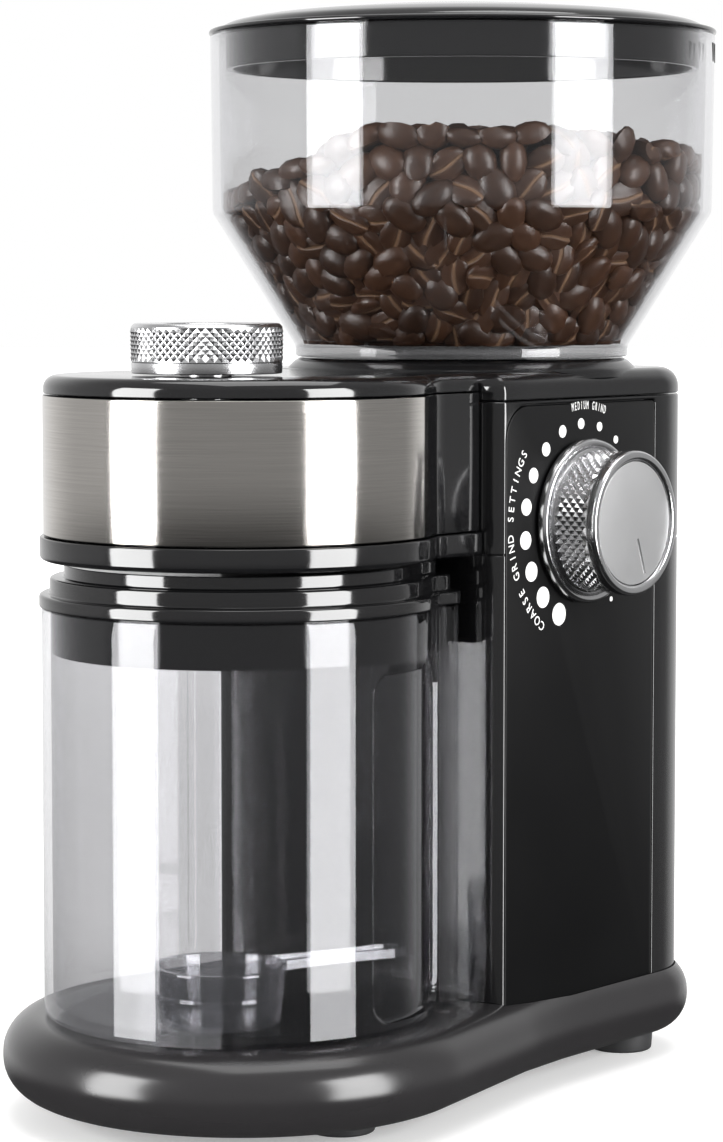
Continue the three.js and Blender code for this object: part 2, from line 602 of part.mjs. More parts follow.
/** The clear grounds container, its lid and the scoop kept inside it, about the container's axis. */
function addContainer(group) {
  const bottom = BASE_TOP + GAP;
  const outside = pulled(containerOutline(0), bottom, CONTAINER_TOP, 8);
  const room = pulled(containerOutline(CONTAINER_WALL), bottom + 2.2, CONTAINER_TOP + 1, 8);
  const grips = [-9, 147].map((degrees) => {
    const from = THREE.MathUtils.degToRad(degrees);
    const slice = ringSlice(CONTAINER_RADIUS + 3, CONTAINER_RADIUS - GRIP_DEPTH, from, from + GRIP_ANGLE);
    return pulled(slice, GRIP_BOTTOM, GRIP_TOP, 6);
  });
  add(group, 'container_body', shape3d([outside], [room, ...grips]), SMOKY_PLASTIC);

  const flangeLow = CONTAINER_TOP + GAP;
  const flangeTop = flangeLow + 3.2;
  const shoulderTop = 132.5;
  const lidTop = LIP_BOTTOM - 0.8;
  const flange = pulled(containerOutline(-0.6), flangeLow, flangeTop);
  const shoulder = pulled(containerOutline(2), flangeTop - 1, shoulderTop);
  const neck = pulled(containerOutline(5.5), shoulderTop - 1, lidTop);
  const skirt = pulled(containerOutline(CONTAINER_WALL + GAP), 114, flangeLow + 1);
  const lidRoom = pulled(containerOutline(CONTAINER_WALL + GAP + 1.6), 113, flangeTop - 1);
  const neckRoom = pulled(containerOutline(7.5), flangeTop - 2, lidTop - 2.2);
  const hole = ring(13, 0, 120, lidTop + 1, 16);
  const lid = shape3d([flange, shoulder, neck, skirt], [lidRoom, neckRoom, hole]);
  add(group, 'container_lid', lid, GLOSS_BLACK);

  const scoopBottom = bottom + 2.2 + GAP;
  const scoopHeight = 14;
  const cupOutline = [[0, 0], [14.5, 0], [15.5, scoopHeight], [14.2, scoopHeight], [13.3, 1.3], [0, 1.3]];
  const cup = turned(cupOutline, 24);
  const handle = block([14, -4.5, scoopHeight - 2.2], [50, 4.5, scoopHeight]);
  const handleTurn = THREE.MathUtils.degToRad(68.5);
  const scoop = shape3d([cup, handle.rotate([0, 0, THREE.MathUtils.radToDeg(handleTurn)])]);
  add(group, 'measuring_scoop', scoop.translate([14.5, -24.5, scoopBottom]), CLEAR_PLASTIC);
}

/** The knurled cup selector with its start button and the button's spring, about the knob's axis. */
function addSelector(group) {
  const low = DECK_TOP + 0.5;
  const floorTop = low + 2.4;
  const knob = turned([
    [3.7, 171], [5.9, 171], [5.9, low], [KNOB_RADIUS, low], [KNOB_RADIUS, KNOB_TOP - 0.8],
    [KNOB_RADIUS - 0.8, KNOB_TOP], [BUTTON_RADIUS + 0.4, KNOB_TOP], [BUTTON_RADIUS + 0.4, floorTop],
    [3.7, floorTop],
  ]);
  add(group, 'selector_knob', knob, TURNED_ALUMINIUM);

  const buttonBottom = floorTop + BUTTON_TRAVEL + 0.7;
  const button = shape3d([ring(BUTTON_RADIUS, 0, buttonBottom, KNOB_TOP - 0.6, 24),
    ring(3.3, 0, 171, buttonBottom + 1, 16)]);
  add(group, 'start_button', button, SATIN_BLACK);

  const turns = 2;
  const coilRadius = 6.5;
  const wire = 0.35;
  const rise = buttonBottom - floorTop - 2 * GAP - 2 * wire;
  const steps = 20 * turns;
  const route = Array.from({ length: steps + 1 }, (_, k) => {
    const angle = 2 * Math.PI * turns * k / steps;
    const height = floorTop + GAP + wire + rise * k / steps;
    return new THREE.Vector3(coilRadius * Math.cos(angle), coilRadius * Math.sin(angle), height);
  });
  const section = new THREE.Shape();
  section.absarc(0, 0, wire, 0, 2 * Math.PI);
  const path = new THREE.CatmullRomCurve3(route);
  const options = { steps, bevelEnabled: false, extrudePath: path, curveSegments: 3 };
  const coil = new THREE.ExtrudeGeometry(section, options);
  add(group, 'start_spring', solid(coil), STEEL);
}

/** The grind dial, in a frame whose Z is the dial's axis and whose origin is on the side panel. */
function addDial(group) {
  const low = 0.5;
  const faceRecess = 1.8;
  const knob = turned([
    [3.8, low], [DIAL_FLANGE_RADIUS, low], [DIAL_FLANGE_RADIUS, 3.2], [DIAL_RADIUS - 0.3, 3.6],
    [DIAL_RADIUS - 0.3, 12.6], [DIAL_RADIUS, 13], [DIAL_RADIUS, DIAL_LENGTH - 0.8],
    [DIAL_RADIUS - 0.8, DIAL_LENGTH], [DIAL_RADIUS - 2.2, DIAL_LENGTH],
    [DIAL_RADIUS - 2.4, DIAL_LENGTH - faceRecess], [0, DIAL_LENGTH - faceRecess], [0, 11.3], [3.8, 11.3],
  ]);
  add(group, 'dial_knob', knob, TURNED_ALUMINIUM);

  const faceRadius = DIAL_RADIUS - 2.7;
  const face = ring(faceRadius, 0, DIAL_LENGTH - faceRecess + GAP, DIAL_LENGTH - 0.7, LATHE_STEPS);
  const groove = block([4, -0.35, DIAL_LENGTH - 1.1], [13.5, 0.35, DIAL_LENGTH]);
  add(group, 'dial_face', shape3d([face], [groove.rotate([0, 0, THREE.MathUtils.radToDeg(POINTER_ANGLE)])]),
    TURNED_ALUMINIUM);

  add(group, 'dial_shaft', ring(3.5, 0, -19.5, 11), STEEL);
  const pinionLow = 28.6 - TOWER_HALF_WIDTH;
  const pinion = pulled(gearOutline(DIAL_PINION_TEETH, 3.8), pinionLow, pinionLow + 3.6, 12);
  add(group, 'dial_pinion', pinion, NYLON);
}

/** The adjusting ring with a face gear under its flange, and the ring burr that it carries. */
function addAdjuster(group) {
  const low = ADJUSTER_GEAR_BOTTOM;
  const sleeve = turned([
    [22.5, low], [34.2, low], [34.2, low + 2], [29.5, low + 2], [29.5, 166.5], [27, 166.5], [27, low + 2.4],
    [22.5, low + 2.4],
  ]);
  const offset = DIAL_Y - HOPPER_Y;
  const tooth = block([28.9, offset - 0.55, low - 1.9], [32.6, offset + 0.55, low + 0.5]);
  const half = 180 / ADJUSTER_TEETH;
  const teeth = Array.from({ length: SECTOR_TEETH }, (_, k) => tooth.rotate([0, 0, half * (2 * k - 3)]));
  add(group, 'adjuster_ring', shape3d([sleeve, ...teeth]), NYLON);

  const burrLow = low + 2.4 + GAP;
  const burr = ring(26.6, 0, burrLow, 166.5, LATHE_STEPS);
  const fluteCut = flutedCone(10, 22.4, 14.6, burrLow - 1, 168, -1.2);
  add(group, 'upper_burr', shape3d([burr], [fluteCut]), STEEL);
}

/** Everything that the motor turns about the hopper's axis. */
function addSpindle(group) {
  const bore = SPINDLE_RADIUS + GAP;
  add(group, 'spindle_shaft', ring(SPINDLE_RADIUS, 0, DECK_PLATE - 2, 169.5), STEEL);
  const gearTop = GEAR_BOTTOM + GEAR_HEIGHT;
  add(group, 'spindle_gear', pulled(gearOutline(SPINDLE_TEETH, bore), GEAR_BOTTOM, gearTop, 6), NYLON);

  const discTop = 152.2;
  const vane = block([5, -1, 139.5], [22, 1, 150.5]);
  const vanes = Array.from({ length: 4 }, (_, k) => vane.rotate([0, 0, 90 * k + 45]));
  const carrier = shape3d([ring(8, bore, 138.5, discTop), ring(19.5, bore, 150, discTop, 24), ...vanes]);
  add(group, 'burr_carrier', carrier, NYLON);

  const burr = flutedCone(9, 20, 10, discTop + GAP, 166, 1.6);
  add(group, 'lower_burr', shape3d([burr], [ring(bore, 0, 150, 170)]), STEEL);
  const nut = shape3d([ring(6.5, 0, 166 + GAP, 169, 6)], [ring(bore, 0, 160, 170)]);
  add(group, 'burr_nut', nut, STEEL);
}

/** The motor's rotor and its pinion, about the motor's axis. */
function addRotor(group) {
  const rotor = shape3d([ring(15, 0, 52, 96, 24), ring(2.5, 0, 40, GEAR_BOTTOM + GEAR_HEIGHT + 1, 16)]);
  add(group, 'motor_rotor', rotor, STEEL);
  const halfTooth = 180 / MOTOR_TEETH;
  const pinion = pulled(gearOutline(MOTOR_TEETH, 2.8), GEAR_BOTTOM, GEAR_BOTTOM + GEAR_HEIGHT, 6);
  add(group, 'motor_pinion', pinion.rotate([0, 0, halfTooth]), BRONZE);
}

/** A child group of the grinder at a place, filled by one of the functions above. */
function assembly(fill, x = 0, y = 0, z = 0) {
  const group = new THREE.Group();
  group.position.set(x, y, z);
  fill(group);
  grinder.add(group);
  return group;
}

assembly(addBase);
assembly(addTower);
assembly(addWorks);
assembly(addHead, 0, HEAD_Y);
assembly(addContainer, 0, HEAD_Y);
assembly(addSelector, 0, KNOB_Y);
assembly(addHopper, 0, HOPPER_Y);
assembly(addAdjuster, 0, HOPPER_Y);
assembly(addSpindle, 0, HOPPER_Y);
assembly(addRotor, 0, MOTOR_Y);
assembly(addDial, TOWER_HALF_WIDTH, DIAL_Y, DIAL_Z).rotation.set(Math.PI / 2, Math.PI / 2, 0);

export default grinder;
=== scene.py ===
"""Burr coffee grinder: visible surfaces, finishes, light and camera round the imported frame.

Lengths are millimetres in the row frame (+Z up, the front faces -Y) until a mesh is written in metres.
"""
import logging
import math
from dataclasses import dataclass
from enum import Enum
from typing import Any, Callable, Sequence

import bpy
import numpy as np
from mathutils import Matrix, Vector


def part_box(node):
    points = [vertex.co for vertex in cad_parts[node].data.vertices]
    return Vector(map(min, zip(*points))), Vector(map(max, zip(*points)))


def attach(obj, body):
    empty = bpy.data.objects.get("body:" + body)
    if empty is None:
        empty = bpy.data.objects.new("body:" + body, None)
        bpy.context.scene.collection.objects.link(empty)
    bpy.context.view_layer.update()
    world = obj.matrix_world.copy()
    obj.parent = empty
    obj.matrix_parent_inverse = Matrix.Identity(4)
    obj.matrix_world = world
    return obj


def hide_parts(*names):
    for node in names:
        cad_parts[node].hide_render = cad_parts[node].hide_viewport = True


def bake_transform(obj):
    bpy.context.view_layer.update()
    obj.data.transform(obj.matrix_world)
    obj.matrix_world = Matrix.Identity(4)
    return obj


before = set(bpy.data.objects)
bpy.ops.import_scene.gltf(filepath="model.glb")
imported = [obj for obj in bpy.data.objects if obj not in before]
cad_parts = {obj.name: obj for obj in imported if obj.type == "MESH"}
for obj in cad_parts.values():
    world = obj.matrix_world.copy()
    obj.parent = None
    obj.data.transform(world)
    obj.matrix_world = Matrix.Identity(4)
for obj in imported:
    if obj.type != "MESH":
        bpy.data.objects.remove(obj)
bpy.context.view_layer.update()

Array = np.ndarray
Colour = tuple[float, float, float]
MM = 0.001
log = logging.getLogger("grinder")


class Body(str, Enum):
    """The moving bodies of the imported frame."""

    HOUSING = "housing"
    HOPPER = "hopper"
    HOPPER_LID = "hopper_lid"
    CONTAINER = "container"
    SCOOP = "scoop"
    SELECTOR = "selector"
    BUTTON = "start_button"
    DIAL = "grind_dial"


class Ends(Enum):
    """What closes a grid of corners at its first and last row."""

    CAPPED = "a flat face over each end row"
    LOOPED = "the last row joins on to the first"


def span(node: str, axis: int) -> tuple[float, float]:
    """The lowest and highest coordinate of a frame node along an axis, in millimetres."""
    low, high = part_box(node)
    return low[axis] / MM, high[axis] / MM


# ---------------------------------------------------------------- curves and skins


def arc(x: float, y: float, radius: float, start: float, end: float, count: int) -> Array:
    """Points on a circle's arc: centre plus radius times (cos, sin) of evenly spaced angles.

    Args:
        x: The centre's first coordinate.
        y: The centre's second coordinate.
        radius: The radius.
        start: First angle in degrees.
        end: Last angle in degrees.
        count: How many points.

    Returns:
        An array of shape (count, 2).
    """
    angle = np.radians(np.linspace(start, end, count))
    return np.column_stack([x + radius * np.cos(angle), y + radius * np.sin(angle)])


def smooth(share: Array) -> Array:
    """A share from 0 to 1 eased at both ends."""
    return share * share * (3 - 2 * share)


def line(start: Sequence[float], end: Sequence[float], count: int) -> Array:
    """Evenly spaced points between two points, both left out."""
    share = np.linspace(0, 1, count + 2)[1:-1, None]
    return np.asarray(start, float) * (1 - share) + np.asarray(end, float) * share


def rounded(low: float, high: float, under: float, over: float, steps: int = 6) -> Array:
    """Inset and height of an upright edge line with a quarter circle at its foot and its head.

    Args:
        low: Height of the foot.
        high: Height of the head.
        under: Radius at the foot.
        over: Radius at the head.
        steps: Points in each quarter.

    Returns:
        Rows of (inset, height) from the foot up.
    """
    turn = np.linspace(0, np.pi / 2, steps)
    foot = np.column_stack([under * (1 - np.sin(turn)), low + under * (1 - np.cos(turn))])
    head = np.column_stack([over * (1 - np.cos(turn)), high - over * (1 - np.sin(turn))])
    return np.vstack([foot, head])


def turned_points(profile: Array, count: int) -> Array:
    """Rows of corners of a solid of revolution: each (radius, height) swept round Z.

    Args:
        profile: Rows of (radius, height).
        count: Corners round the axis.

    Returns:
        An array of shape (rows, count, 3).
    """
    angle = np.linspace(0, 2 * np.pi, count, endpoint=False)
    radius, height = np.asarray(profile, float).T
    flat = radius[:, None, None] * np.stack([np.cos(angle), np.sin(angle)], axis=-1)
    lift = np.broadcast_to(height[:, None, None], (*flat.shape[:2], 1))
    return np.concatenate([flat, lift], axis=-1)


def lofted_points(outline: Callable[[float], Array], levels: Array) -> Array:
    """Rows of corners through a plan outline drawn in by each level's inset, at each level's height.

    Args:
        outline: Gives the plan outline for an inset.
        levels: Rows of (inset, height).

    Returns:
        An array of shape (rows, count, 3).
    """
    plans = [outline(inset) for inset, _ in levels]
    return np.stack([np.column_stack([plan, np.full(len(plan), z)]) for plan, (_, z) in zip(plans, levels)])


@dataclass
class Skin:
    """Corners and faces of one closed surface, in millimetres.

    Attributes:
        points: Corners, shape (n, 3).
        faces: Corner numbers of each face.
    """

    points: Array
    faces: list

    @classmethod
    def grid(cls, rows: Array, ends: Ends = Ends.CAPPED, knurl: slice | None = None) -> "Skin":
        """Quads between neighbouring rows, each row a closed ring, with the ends closed.

        Between knurled rows a quad is split along the diagonal that joins its two valley corners, so
        that four faces meet at every peak. A corner is a valley where row and column number add up even.

        Args:
            rows: Corners, shape (rows, columns, 3).
            ends: How the first and last row are closed.
            knurl: The rows that carry a knurl.

        Returns:
            The skin, with its faces outwards.
        """
        high, wide = rows.shape[:2]
        count = high if ends is Ends.LOOPED else high - 1
        row, column = np.meshgrid(np.arange(count), np.arange(wide), indexing="ij")
        up, right = (row + 1) % high, (column + 1) % wide
        here, above = row * wide, up * wide
        corners = np.stack([here + column, here + right, above + right, above + column], -1)
        if knurl is None:
            faces = corners.reshape(-1, 4).tolist()
        else:
            rough = np.zeros(count, bool)
            rough[knurl] = True
            faces = corners[~rough].reshape(-1, 4).tolist()
            split, even = corners[rough], ((row + column) % 2 == 0)[rough]
            along, across = split[even], split[~even]
            faces += np.concatenate([along[:, [0, 1, 2]], along[:, [0, 2, 3]]]).tolist()
            faces += np.concatenate([across[:, [0, 1, 3]], across[:, [1, 2, 3]]]).tolist()
        if ends is Ends.CAPPED:
            faces.append(list(range(wide - 1, -1, -1)))
            faces.append(list(range((high - 1) * wide, high * wide)))
        return cls(rows.reshape(-1, 3), faces).outward()

    def outward(self) -> "Skin":
        """The same skin with its faces turned round if the volume inside them comes out negative.

        Returns:
            The skin.
        """
        total = 0.0
        for face in self.faces:
            corner = self.points[face]
            total += float(np.einsum("j,ij->", corner[0], np.cross(corner[1:-1], corner[2:])))
        return self if total >= 0 else Skin(self.points, [face[::-1] for face in self.faces])

    def moved(self, x: float = 0, y: float = 0, z: float = 0) -> "Skin":
        """The skin shifted by an offset."""
        return Skin(self.points + np.array([x, y, z]), self.faces)

    def mapped(self, axes: Sequence[Sequence[float]], place: Sequence[float] = (0, 0, 0)) -> "Skin":
        """The skin with its own X, Y and Z laid along three directions, then moved to a place."""
        return Skin(self.points @ np.asarray(axes, float) + np.asarray(place, float), self.faces).outward()

    def mesh(self, name: str) -> bpy.types.Mesh:
        """A Blender mesh of the skin, in metres.

        Args:
            name: Name of the mesh.

        Returns:
            The new mesh.
        """
        made = bpy.data.meshes.new(name)
        made.from_pydata((self.points * MM).tolist(), [], self.faces)
        made.update()
        return made


SIDEWAYS = [[0, 1, 0], [0, 0, 1], [1, 0, 0]]
BACKWARDS = [[1, 0, 0], [0, 0, -1], [0, 1, 0]]


def spun(turn: float) -> list[list[float]]:
    """The three directions that turn a skin about Z by an angle in radians."""
    return [[math.cos(turn), math.sin(turn), 0], [-math.sin(turn), math.cos(turn), 0], [0, 0, 1]]


def joined(skins: Sequence[Skin]) -> Skin:
    """Several skins as one, side by side.

    Args:
        skins: The skins.

    Returns:
        One skin.
    """
    starts = np.cumsum([0] + [len(skin.points) for skin in skins[:-1]])
    faces = [[int(corner + start) for corner in face]
             for skin, start in zip(skins, starts) for face in skin.faces]
    return Skin(np.vstack([skin.points for skin in skins]), faces)


def turned(profile: Any, count: int = 96, ends: Ends = Ends.CAPPED) -> Skin:
    """A solid of revolution about Z from (radius, height) rows."""
    return Skin.grid(turned_points(np.asarray(profile, float), count), ends)


def lofted(outline: Callable[[float], Array], levels: Any, ends: Ends = Ends.CAPPED) -> Skin:
    """A solid through plan outlines, one for each (inset, height) level."""
    return Skin.grid(lofted_points(outline, np.asarray(levels, float)), ends)


def box(low: Sequence[float], high: Sequence[float]) -> Skin:
    """A block between its lowest and highest corners, used to cut with.

    Args:
        low: Lowest corner.
        high: Highest corner.

    Returns:
        The block.
    """
    x, y = [low[0], high[0]], [low[1], high[1]]
    plan = np.array([[x[0], y[0]], [x[1], y[0]], [x[1], y[1]], [x[0], y[1]]])
    return lofted(lambda _: plan, [(0, low[2]), (0, high[2])])


def wrapped_slab(inner: float, outer: float, angles: tuple[float, float], heights: tuple[float, float],
                 corner: float, edge: float = 0.0) -> Skin:
    """A plate bent round Z with rounded corners.

    Along its length the plate is cut into upright slices. A slice inside a corner, at the angle f of
    the corner's quarter circle, starts and stops corner * (1 - sin f) short of the full height.

    Args:
        inner: Inner radius.
        outer: Outer radius.
        angles: First and last angle in degrees.
        heights: Lowest and highest Z.
        corner: Radius of the four corners in the plate's own plane.
        edge: Rounding of the outer face's edges.

    Returns:
        The plate about Z.
    """
    quarter = np.linspace(0, np.pi / 2, 9)
    span_angle = np.radians(np.array(angles))
    reach = corner / outer
    start = span_angle[0] + reach * (1 - np.cos(quarter))
    end = span_angle[1] - reach * (1 - np.cos(quarter[::-1]))
    middle = np.linspace(start[-1], end[0], max(int((end[0] - start[-1]) * outer / 1.2), 2))[1:-1]
    angle = np.concatenate([start, middle, end])
    short = corner * np.concatenate([1 - np.sin(quarter), np.zeros(len(middle)), 1 - np.sin(quarter[::-1])])
    turn = np.linspace(0, np.pi / 2, 4) if edge else np.full(1, np.pi / 2)
    radii, insets = outer - edge * (1 - np.sin(turn)), edge * (1 - np.cos(turn))
    radius = np.concatenate([[inner], radii, radii[::-1], [inner]])
    inset = np.concatenate([[0], insets, insets[::-1], [0]])
    upper = np.arange(len(radius)) > len(turn)
    foot = heights[0] + short[:, None] + inset[None, :]
    height = np.where(upper[None, :], heights[1] - short[:, None] - inset[None, :], foot)
    x = radius[None, :] * np.cos(angle)[:, None]
    y = radius[None, :] * np.sin(angle)[:, None]
    return Skin.grid(np.stack([x, y, height], -1))


def linked(name: str, data: Any) -> bpy.types.Object:
    """A new object in the scene that carries the data.

    Args:
        name: Its name.
        data: The mesh, light, camera or text.

    Returns:
        The object.
    """
    made = bpy.data.objects.new(name, data)
    bpy.context.collection.objects.link(made)
    return made


def finished(thing: bpy.types.Object) -> bpy.types.Mesh:
    """The mesh of an object with its modifiers applied, or of a text object."""
    return bpy.data.meshes.new_from_object(thing.evaluated_get(bpy.context.evaluated_depsgraph_get()))


def combined(whole: Skin | bpy.types.Mesh, added: Sequence[Skin] = (),
             cut: Sequence[Skin] = ()) -> bpy.types.Mesh:
    """A shape with others joined on and then others cut away, by exact Booleans that are applied here.

    Args:
        whole: The first shape.
        added: Skins joined to it.
        cut: Skins cut from the result.

    Returns:
        The mesh.
    """
    objects = []
    for shape in (whole, *added, *cut):
        mesh = shape.mesh("shape") if isinstance(shape, Skin) else shape
        objects.append(linked("shape", mesh))
    for k, tool in enumerate(objects[1:]):
        modifier = objects[0].modifiers.new("join", "BOOLEAN")
        modifier.operation = "UNION" if k < len(added) else "DIFFERENCE"
        modifier.solver, modifier.object = "EXACT", tool
    done = finished(objects[0])
    for spent in objects:
        old = spent.data
        bpy.data.objects.remove(spent)
        bpy.data.meshes.remove(old)
    return done


# ---------------------------------------------------------------- shader building


class Value:
    """A shader socket whose arithmetic adds Math nodes."""

    def __init__(self, graph: "Graph", socket: Any) -> None:
        """Keeps the graph and the socket."""
        self.graph = graph
        self.socket = socket

    def math(self, operation: str, *values: Any) -> "Value":
        """A Math node on these values."""
        inputs = dict(enumerate(values))
        return self.graph.node("ShaderNodeMath", {"operation": operation}, inputs)[0]

    def __add__(self, other: Any) -> "Value":
        """This plus other."""
        return self.math("ADD", self, other)

    def __mul__(self, other: Any) -> "Value":
        """This times other."""
        return self.math("MULTIPLY", self, other)

    def __sub__(self, other: Any) -> "Value":
        """This less other."""
        return self.math("SUBTRACT", self, other)

    def __rsub__(self, other: Any) -> "Value":
        """Other less this."""
        return self.math("SUBTRACT", other, self)

    __radd__ = __add__
    __rmul__ = __mul__

    def size(self) -> "Value":
        """The absolute value."""
        return self.math("ABSOLUTE", self)

    def step(self, start: float, end: float) -> "Value":
        """A smooth rise from 0 at start to 1 at end; it falls instead where start is above end.

        Args:
            start: Where it is 0.
            end: Where it is 1.

        Returns:
            The share between 0 and 1.
        """
        low, high, flip = min(start, end), max(start, end), start > end
        settings = {"interpolation_type": "SMOOTHSTEP"}
        inputs = {"Value": self, "From Min": low, "From Max": high}
        rise = self.graph.node("ShaderNodeMapRange", settings, inputs)[0]
        return 1 - rise if flip else rise


class Made:
    """A node just made, whose outputs come out as values."""

    def __init__(self, graph: "Graph", node: Any) -> None:
        """Keeps the graph and the node."""
        self.graph = graph
        self.node = node

    def __getitem__(self, key: int | str) -> Value:
        """One output, by number or name."""
        return Value(self.graph, self.node.outputs[key])


class Graph:
    """A node tree under construction."""

    def __init__(self, tree: Any) -> None:
        """Empties the tree."""
        self.tree = tree
        tree.nodes.clear()

    def node(self, kind: str, settings: dict[str, Any] | None = None,
             inputs: dict[int | str, Any] | None = None) -> Made:
        """Any node: its settings are set first, then its sockets.

        Args:
            kind: The node's type.
            settings: Attributes, or "stops" for a colour ramp: (position, colour) pairs.
            inputs: A value, or a number or colour, for each socket by name or number.

        Returns:
            The node, ready to give its outputs.
        """
        made = self.tree.nodes.new(kind)
        for key, value in (settings or {}).items():
            if key == "stops":
                while len(made.color_ramp.elements) < len(value):
                    made.color_ramp.elements.new(1)
                for element, (place, colour) in zip(made.color_ramp.elements, value):
                    element.position, element.color = place, (*colour, 1)
            else:
                setattr(made, key, value)
        for key, value in (inputs or {}).items():
            if isinstance(value, Value):
                self.tree.links.new(value.socket, made.inputs[key])
            else:
                socket = made.inputs[key]
                socket.default_value = (*value, 1) if self.is_colour(socket, value) else value
        return Made(self, made)

    @staticmethod
    def is_colour(socket: Any, value: Any) -> bool:
        """Whether a three-number value goes into a four-number colour socket."""
        return socket.type == "RGBA" and len(value) == 3

    def place(self) -> Value:
        """Object coordinates."""
        return self.node("ShaderNodeTexCoord")["Object"]

    def stretched(self, vector: Value, scale: Sequence[float]) -> Value:
        """A vector with each of its numbers scaled."""
        return self.node("ShaderNodeVectorMath", {"operation": "MULTIPLY"}, {0: vector, 1: tuple(scale)})[0]

    def noise(self, vector: Value, scale: float, detail: float = 2.0, roughness: float = 0.5) -> Value:
        """Noise between 0 and 1, with scale in waves a metre."""
        inputs = {"Vector": vector, "Scale": scale, "Detail": detail, "Roughness": roughness}
        return self.node("ShaderNodeTexNoise", None, inputs)["Fac"]

    def blend(self, share: Any, first: Any, second: Any) -> Value:
        """A colour between two colours.

        Args:
            share: Share of the second colour.
            first: Colour at 0.
            second: Colour at 1.

        Returns:
            The mixed colour.
        """
        inputs = {"Factor": share, "A": first, "B": second}
        made = self.node("ShaderNodeMix", {"data_type": "RGBA"}, {})
        for key, value in inputs.items():
            kind = "VALUE" if key == "Factor" else "RGBA"
            socket = next(s for s in made.node.inputs if s.name == key and s.type == kind)
            if isinstance(value, Value):
                self.tree.links.new(value.socket, socket)
            else:
                socket.default_value = (*value, 1) if kind == "RGBA" else value
        return Value(self, next(s for s in made.node.outputs if s.type == "RGBA"))

    def bump(self, height: Value, depth: float, strength: float = 1.0) -> Value:
        """A normal from a height, with depth in metres."""
        inputs = {"Height": height, "Distance": depth, "Strength": strength}
        return self.node("ShaderNodeBump", None, inputs)[0]

    def principled(self, **sockets: Any) -> Value:
        """A Principled shader; socket names are given with underscores for spaces."""
        inputs = {key.replace("_", " "): value for key, value in sockets.items()}
        return self.node("ShaderNodeBsdfPrincipled", None, inputs)[0]

    def mixed(self, share: Any, first: Value, second: Value) -> Value:
        """A Mix Shader between two shaders."""
        return self.node("ShaderNodeMixShader", None, {0: share, 1: first, 2: second})[0]

    def show(self, shader: Value, target: str = "ShaderNodeOutputMaterial") -> None:
        """Sends a shader to the output."""
        self.node(target, None, {"Surface": shader})


# ---------------------------------------------------------------- finishes


@dataclass(frozen=True)
class Finish:
    """One surface finish.

    Attributes:
        name: The material's name.
        slot: The record's material slot; it is not used.
    """

    name: str
    slot: str

    def shader(self, graph: Graph) -> Value:
        """The shader of this finish."""
        raise NotImplementedError

    def material(self) -> bpy.types.Material:
        """The Blender material, made once.

        Returns:
            The material.
        """
        title = self.name + "_finish"
        found = bpy.data.materials.get(title)
        if found:
            return found
        made = bpy.data.materials.new(title)
        made.use_nodes = True
        graph = Graph(made.node_tree)
        graph.show(self.shader(graph))
        return made


@dataclass(frozen=True)
class Moulded(Finish):
    """Moulded plastic or rubber: a little uneven in colour and polish, with a fine skin.

    Attributes:
        colour: Base colour.
        roughness: Middle roughness.
        spread: How far the roughness wanders.
        grain: Waves a metre of the fine skin.
        depth: Height of the fine skin in metres.
        shine: Strength of its reflection, 0.5 for plain plastic.
    """

    colour: Colour = (0.012, 0.012, 0.013)
    roughness: float = 0.12
    spread: float = 0.06
    grain: float = 900.0
    depth: float = 4e-6
    shine: float = 0.5

    def shader(self, graph: Graph) -> Value:
        """Two scales of noise on colour and roughness, and a fine noise bump.

        Args:
            graph: The material being built.

        Returns:
            The shader.
        """
        place = graph.place()
        broad = graph.noise(place, 22, 4)
        fine = graph.noise(place, self.grain, 3, 0.6)
        lighter = tuple(channel * 1.35 + 0.002 for channel in self.colour)
        colour = graph.blend(broad * 0.6 + fine * 0.25, self.colour, lighter)
        roughness = self.roughness + (broad - 0.5) * (2 * self.spread) + (fine - 0.5) * self.spread
        return graph.principled(Base_Color=colour, Roughness=roughness, Specular_IOR_Level=self.shine,
                                Normal=graph.bump(fine, self.depth))


@dataclass(frozen=True)
class Brushed(Finish):
    """Sheet steel brushed round the head, so its scratches run level."""

    colour: Colour = (0.56, 0.535, 0.505)
    roughness: float = 0.15

    def shader(self, graph: Graph) -> Value:
        """Noise squeezed in height and drawn out along the brushing, over colour, roughness and bump.

        Args:
            graph: The material being built.

        Returns:
            The shader.
        """
        place = graph.place()
        hair = graph.noise(graph.stretched(place, (60, 60, 9000)), 1, 3, 0.7)
        streak = graph.noise(graph.stretched(place, (18, 18, 2600)), 1, 2)
        tone = hair * 0.65 + streak * 0.35
        darker = tuple(channel * 0.8 for channel in self.colour)
        colour = graph.blend(tone.step(0.25, 0.75), darker, self.colour)
        roughness = self.roughness + (tone - 0.5) * 0.14
        return graph.principled(Base_Color=colour, Metallic=1.0, Roughness=roughness, Anisotropic=0.85,
                                Anisotropic_Rotation=0.25, Normal=graph.bump(tone, 6e-6))


@dataclass(frozen=True)
class Metal(Finish):
    """Machined or blasted metal.

    Attributes:
        colour: Reflected colour.
        roughness: Middle roughness.
        spread: How far the roughness wanders.
        grain: Waves a metre of the fine grain.
        depth: Height of the grain in metres.
    """

    colour: Colour = (0.78, 0.78, 0.79)
    roughness: float = 0.24
    spread: float = 0.05
    grain: float = 2200.0
    depth: float = 4e-6

    def shader(self, graph: Graph) -> Value:
        """Broad staining and a fine grain on colour and roughness, with the grain as bump.

        Args:
            graph: The material being built.

        Returns:
            The shader.
        """
        place = graph.place()
        broad = graph.noise(place, 60, 3)
        fine = graph.noise(place, self.grain, 2, 0.6)
        darker = tuple(channel * 0.86 for channel in self.colour)
        colour = graph.blend(broad * 0.5 + fine * 0.5, darker, self.colour)
        roughness = self.roughness + (fine - 0.5) * (2 * self.spread) + (broad - 0.5) * self.spread
        return graph.principled(Base_Color=colour, Metallic=1.0, Roughness=roughness,
                                Normal=graph.bump(fine, self.depth))


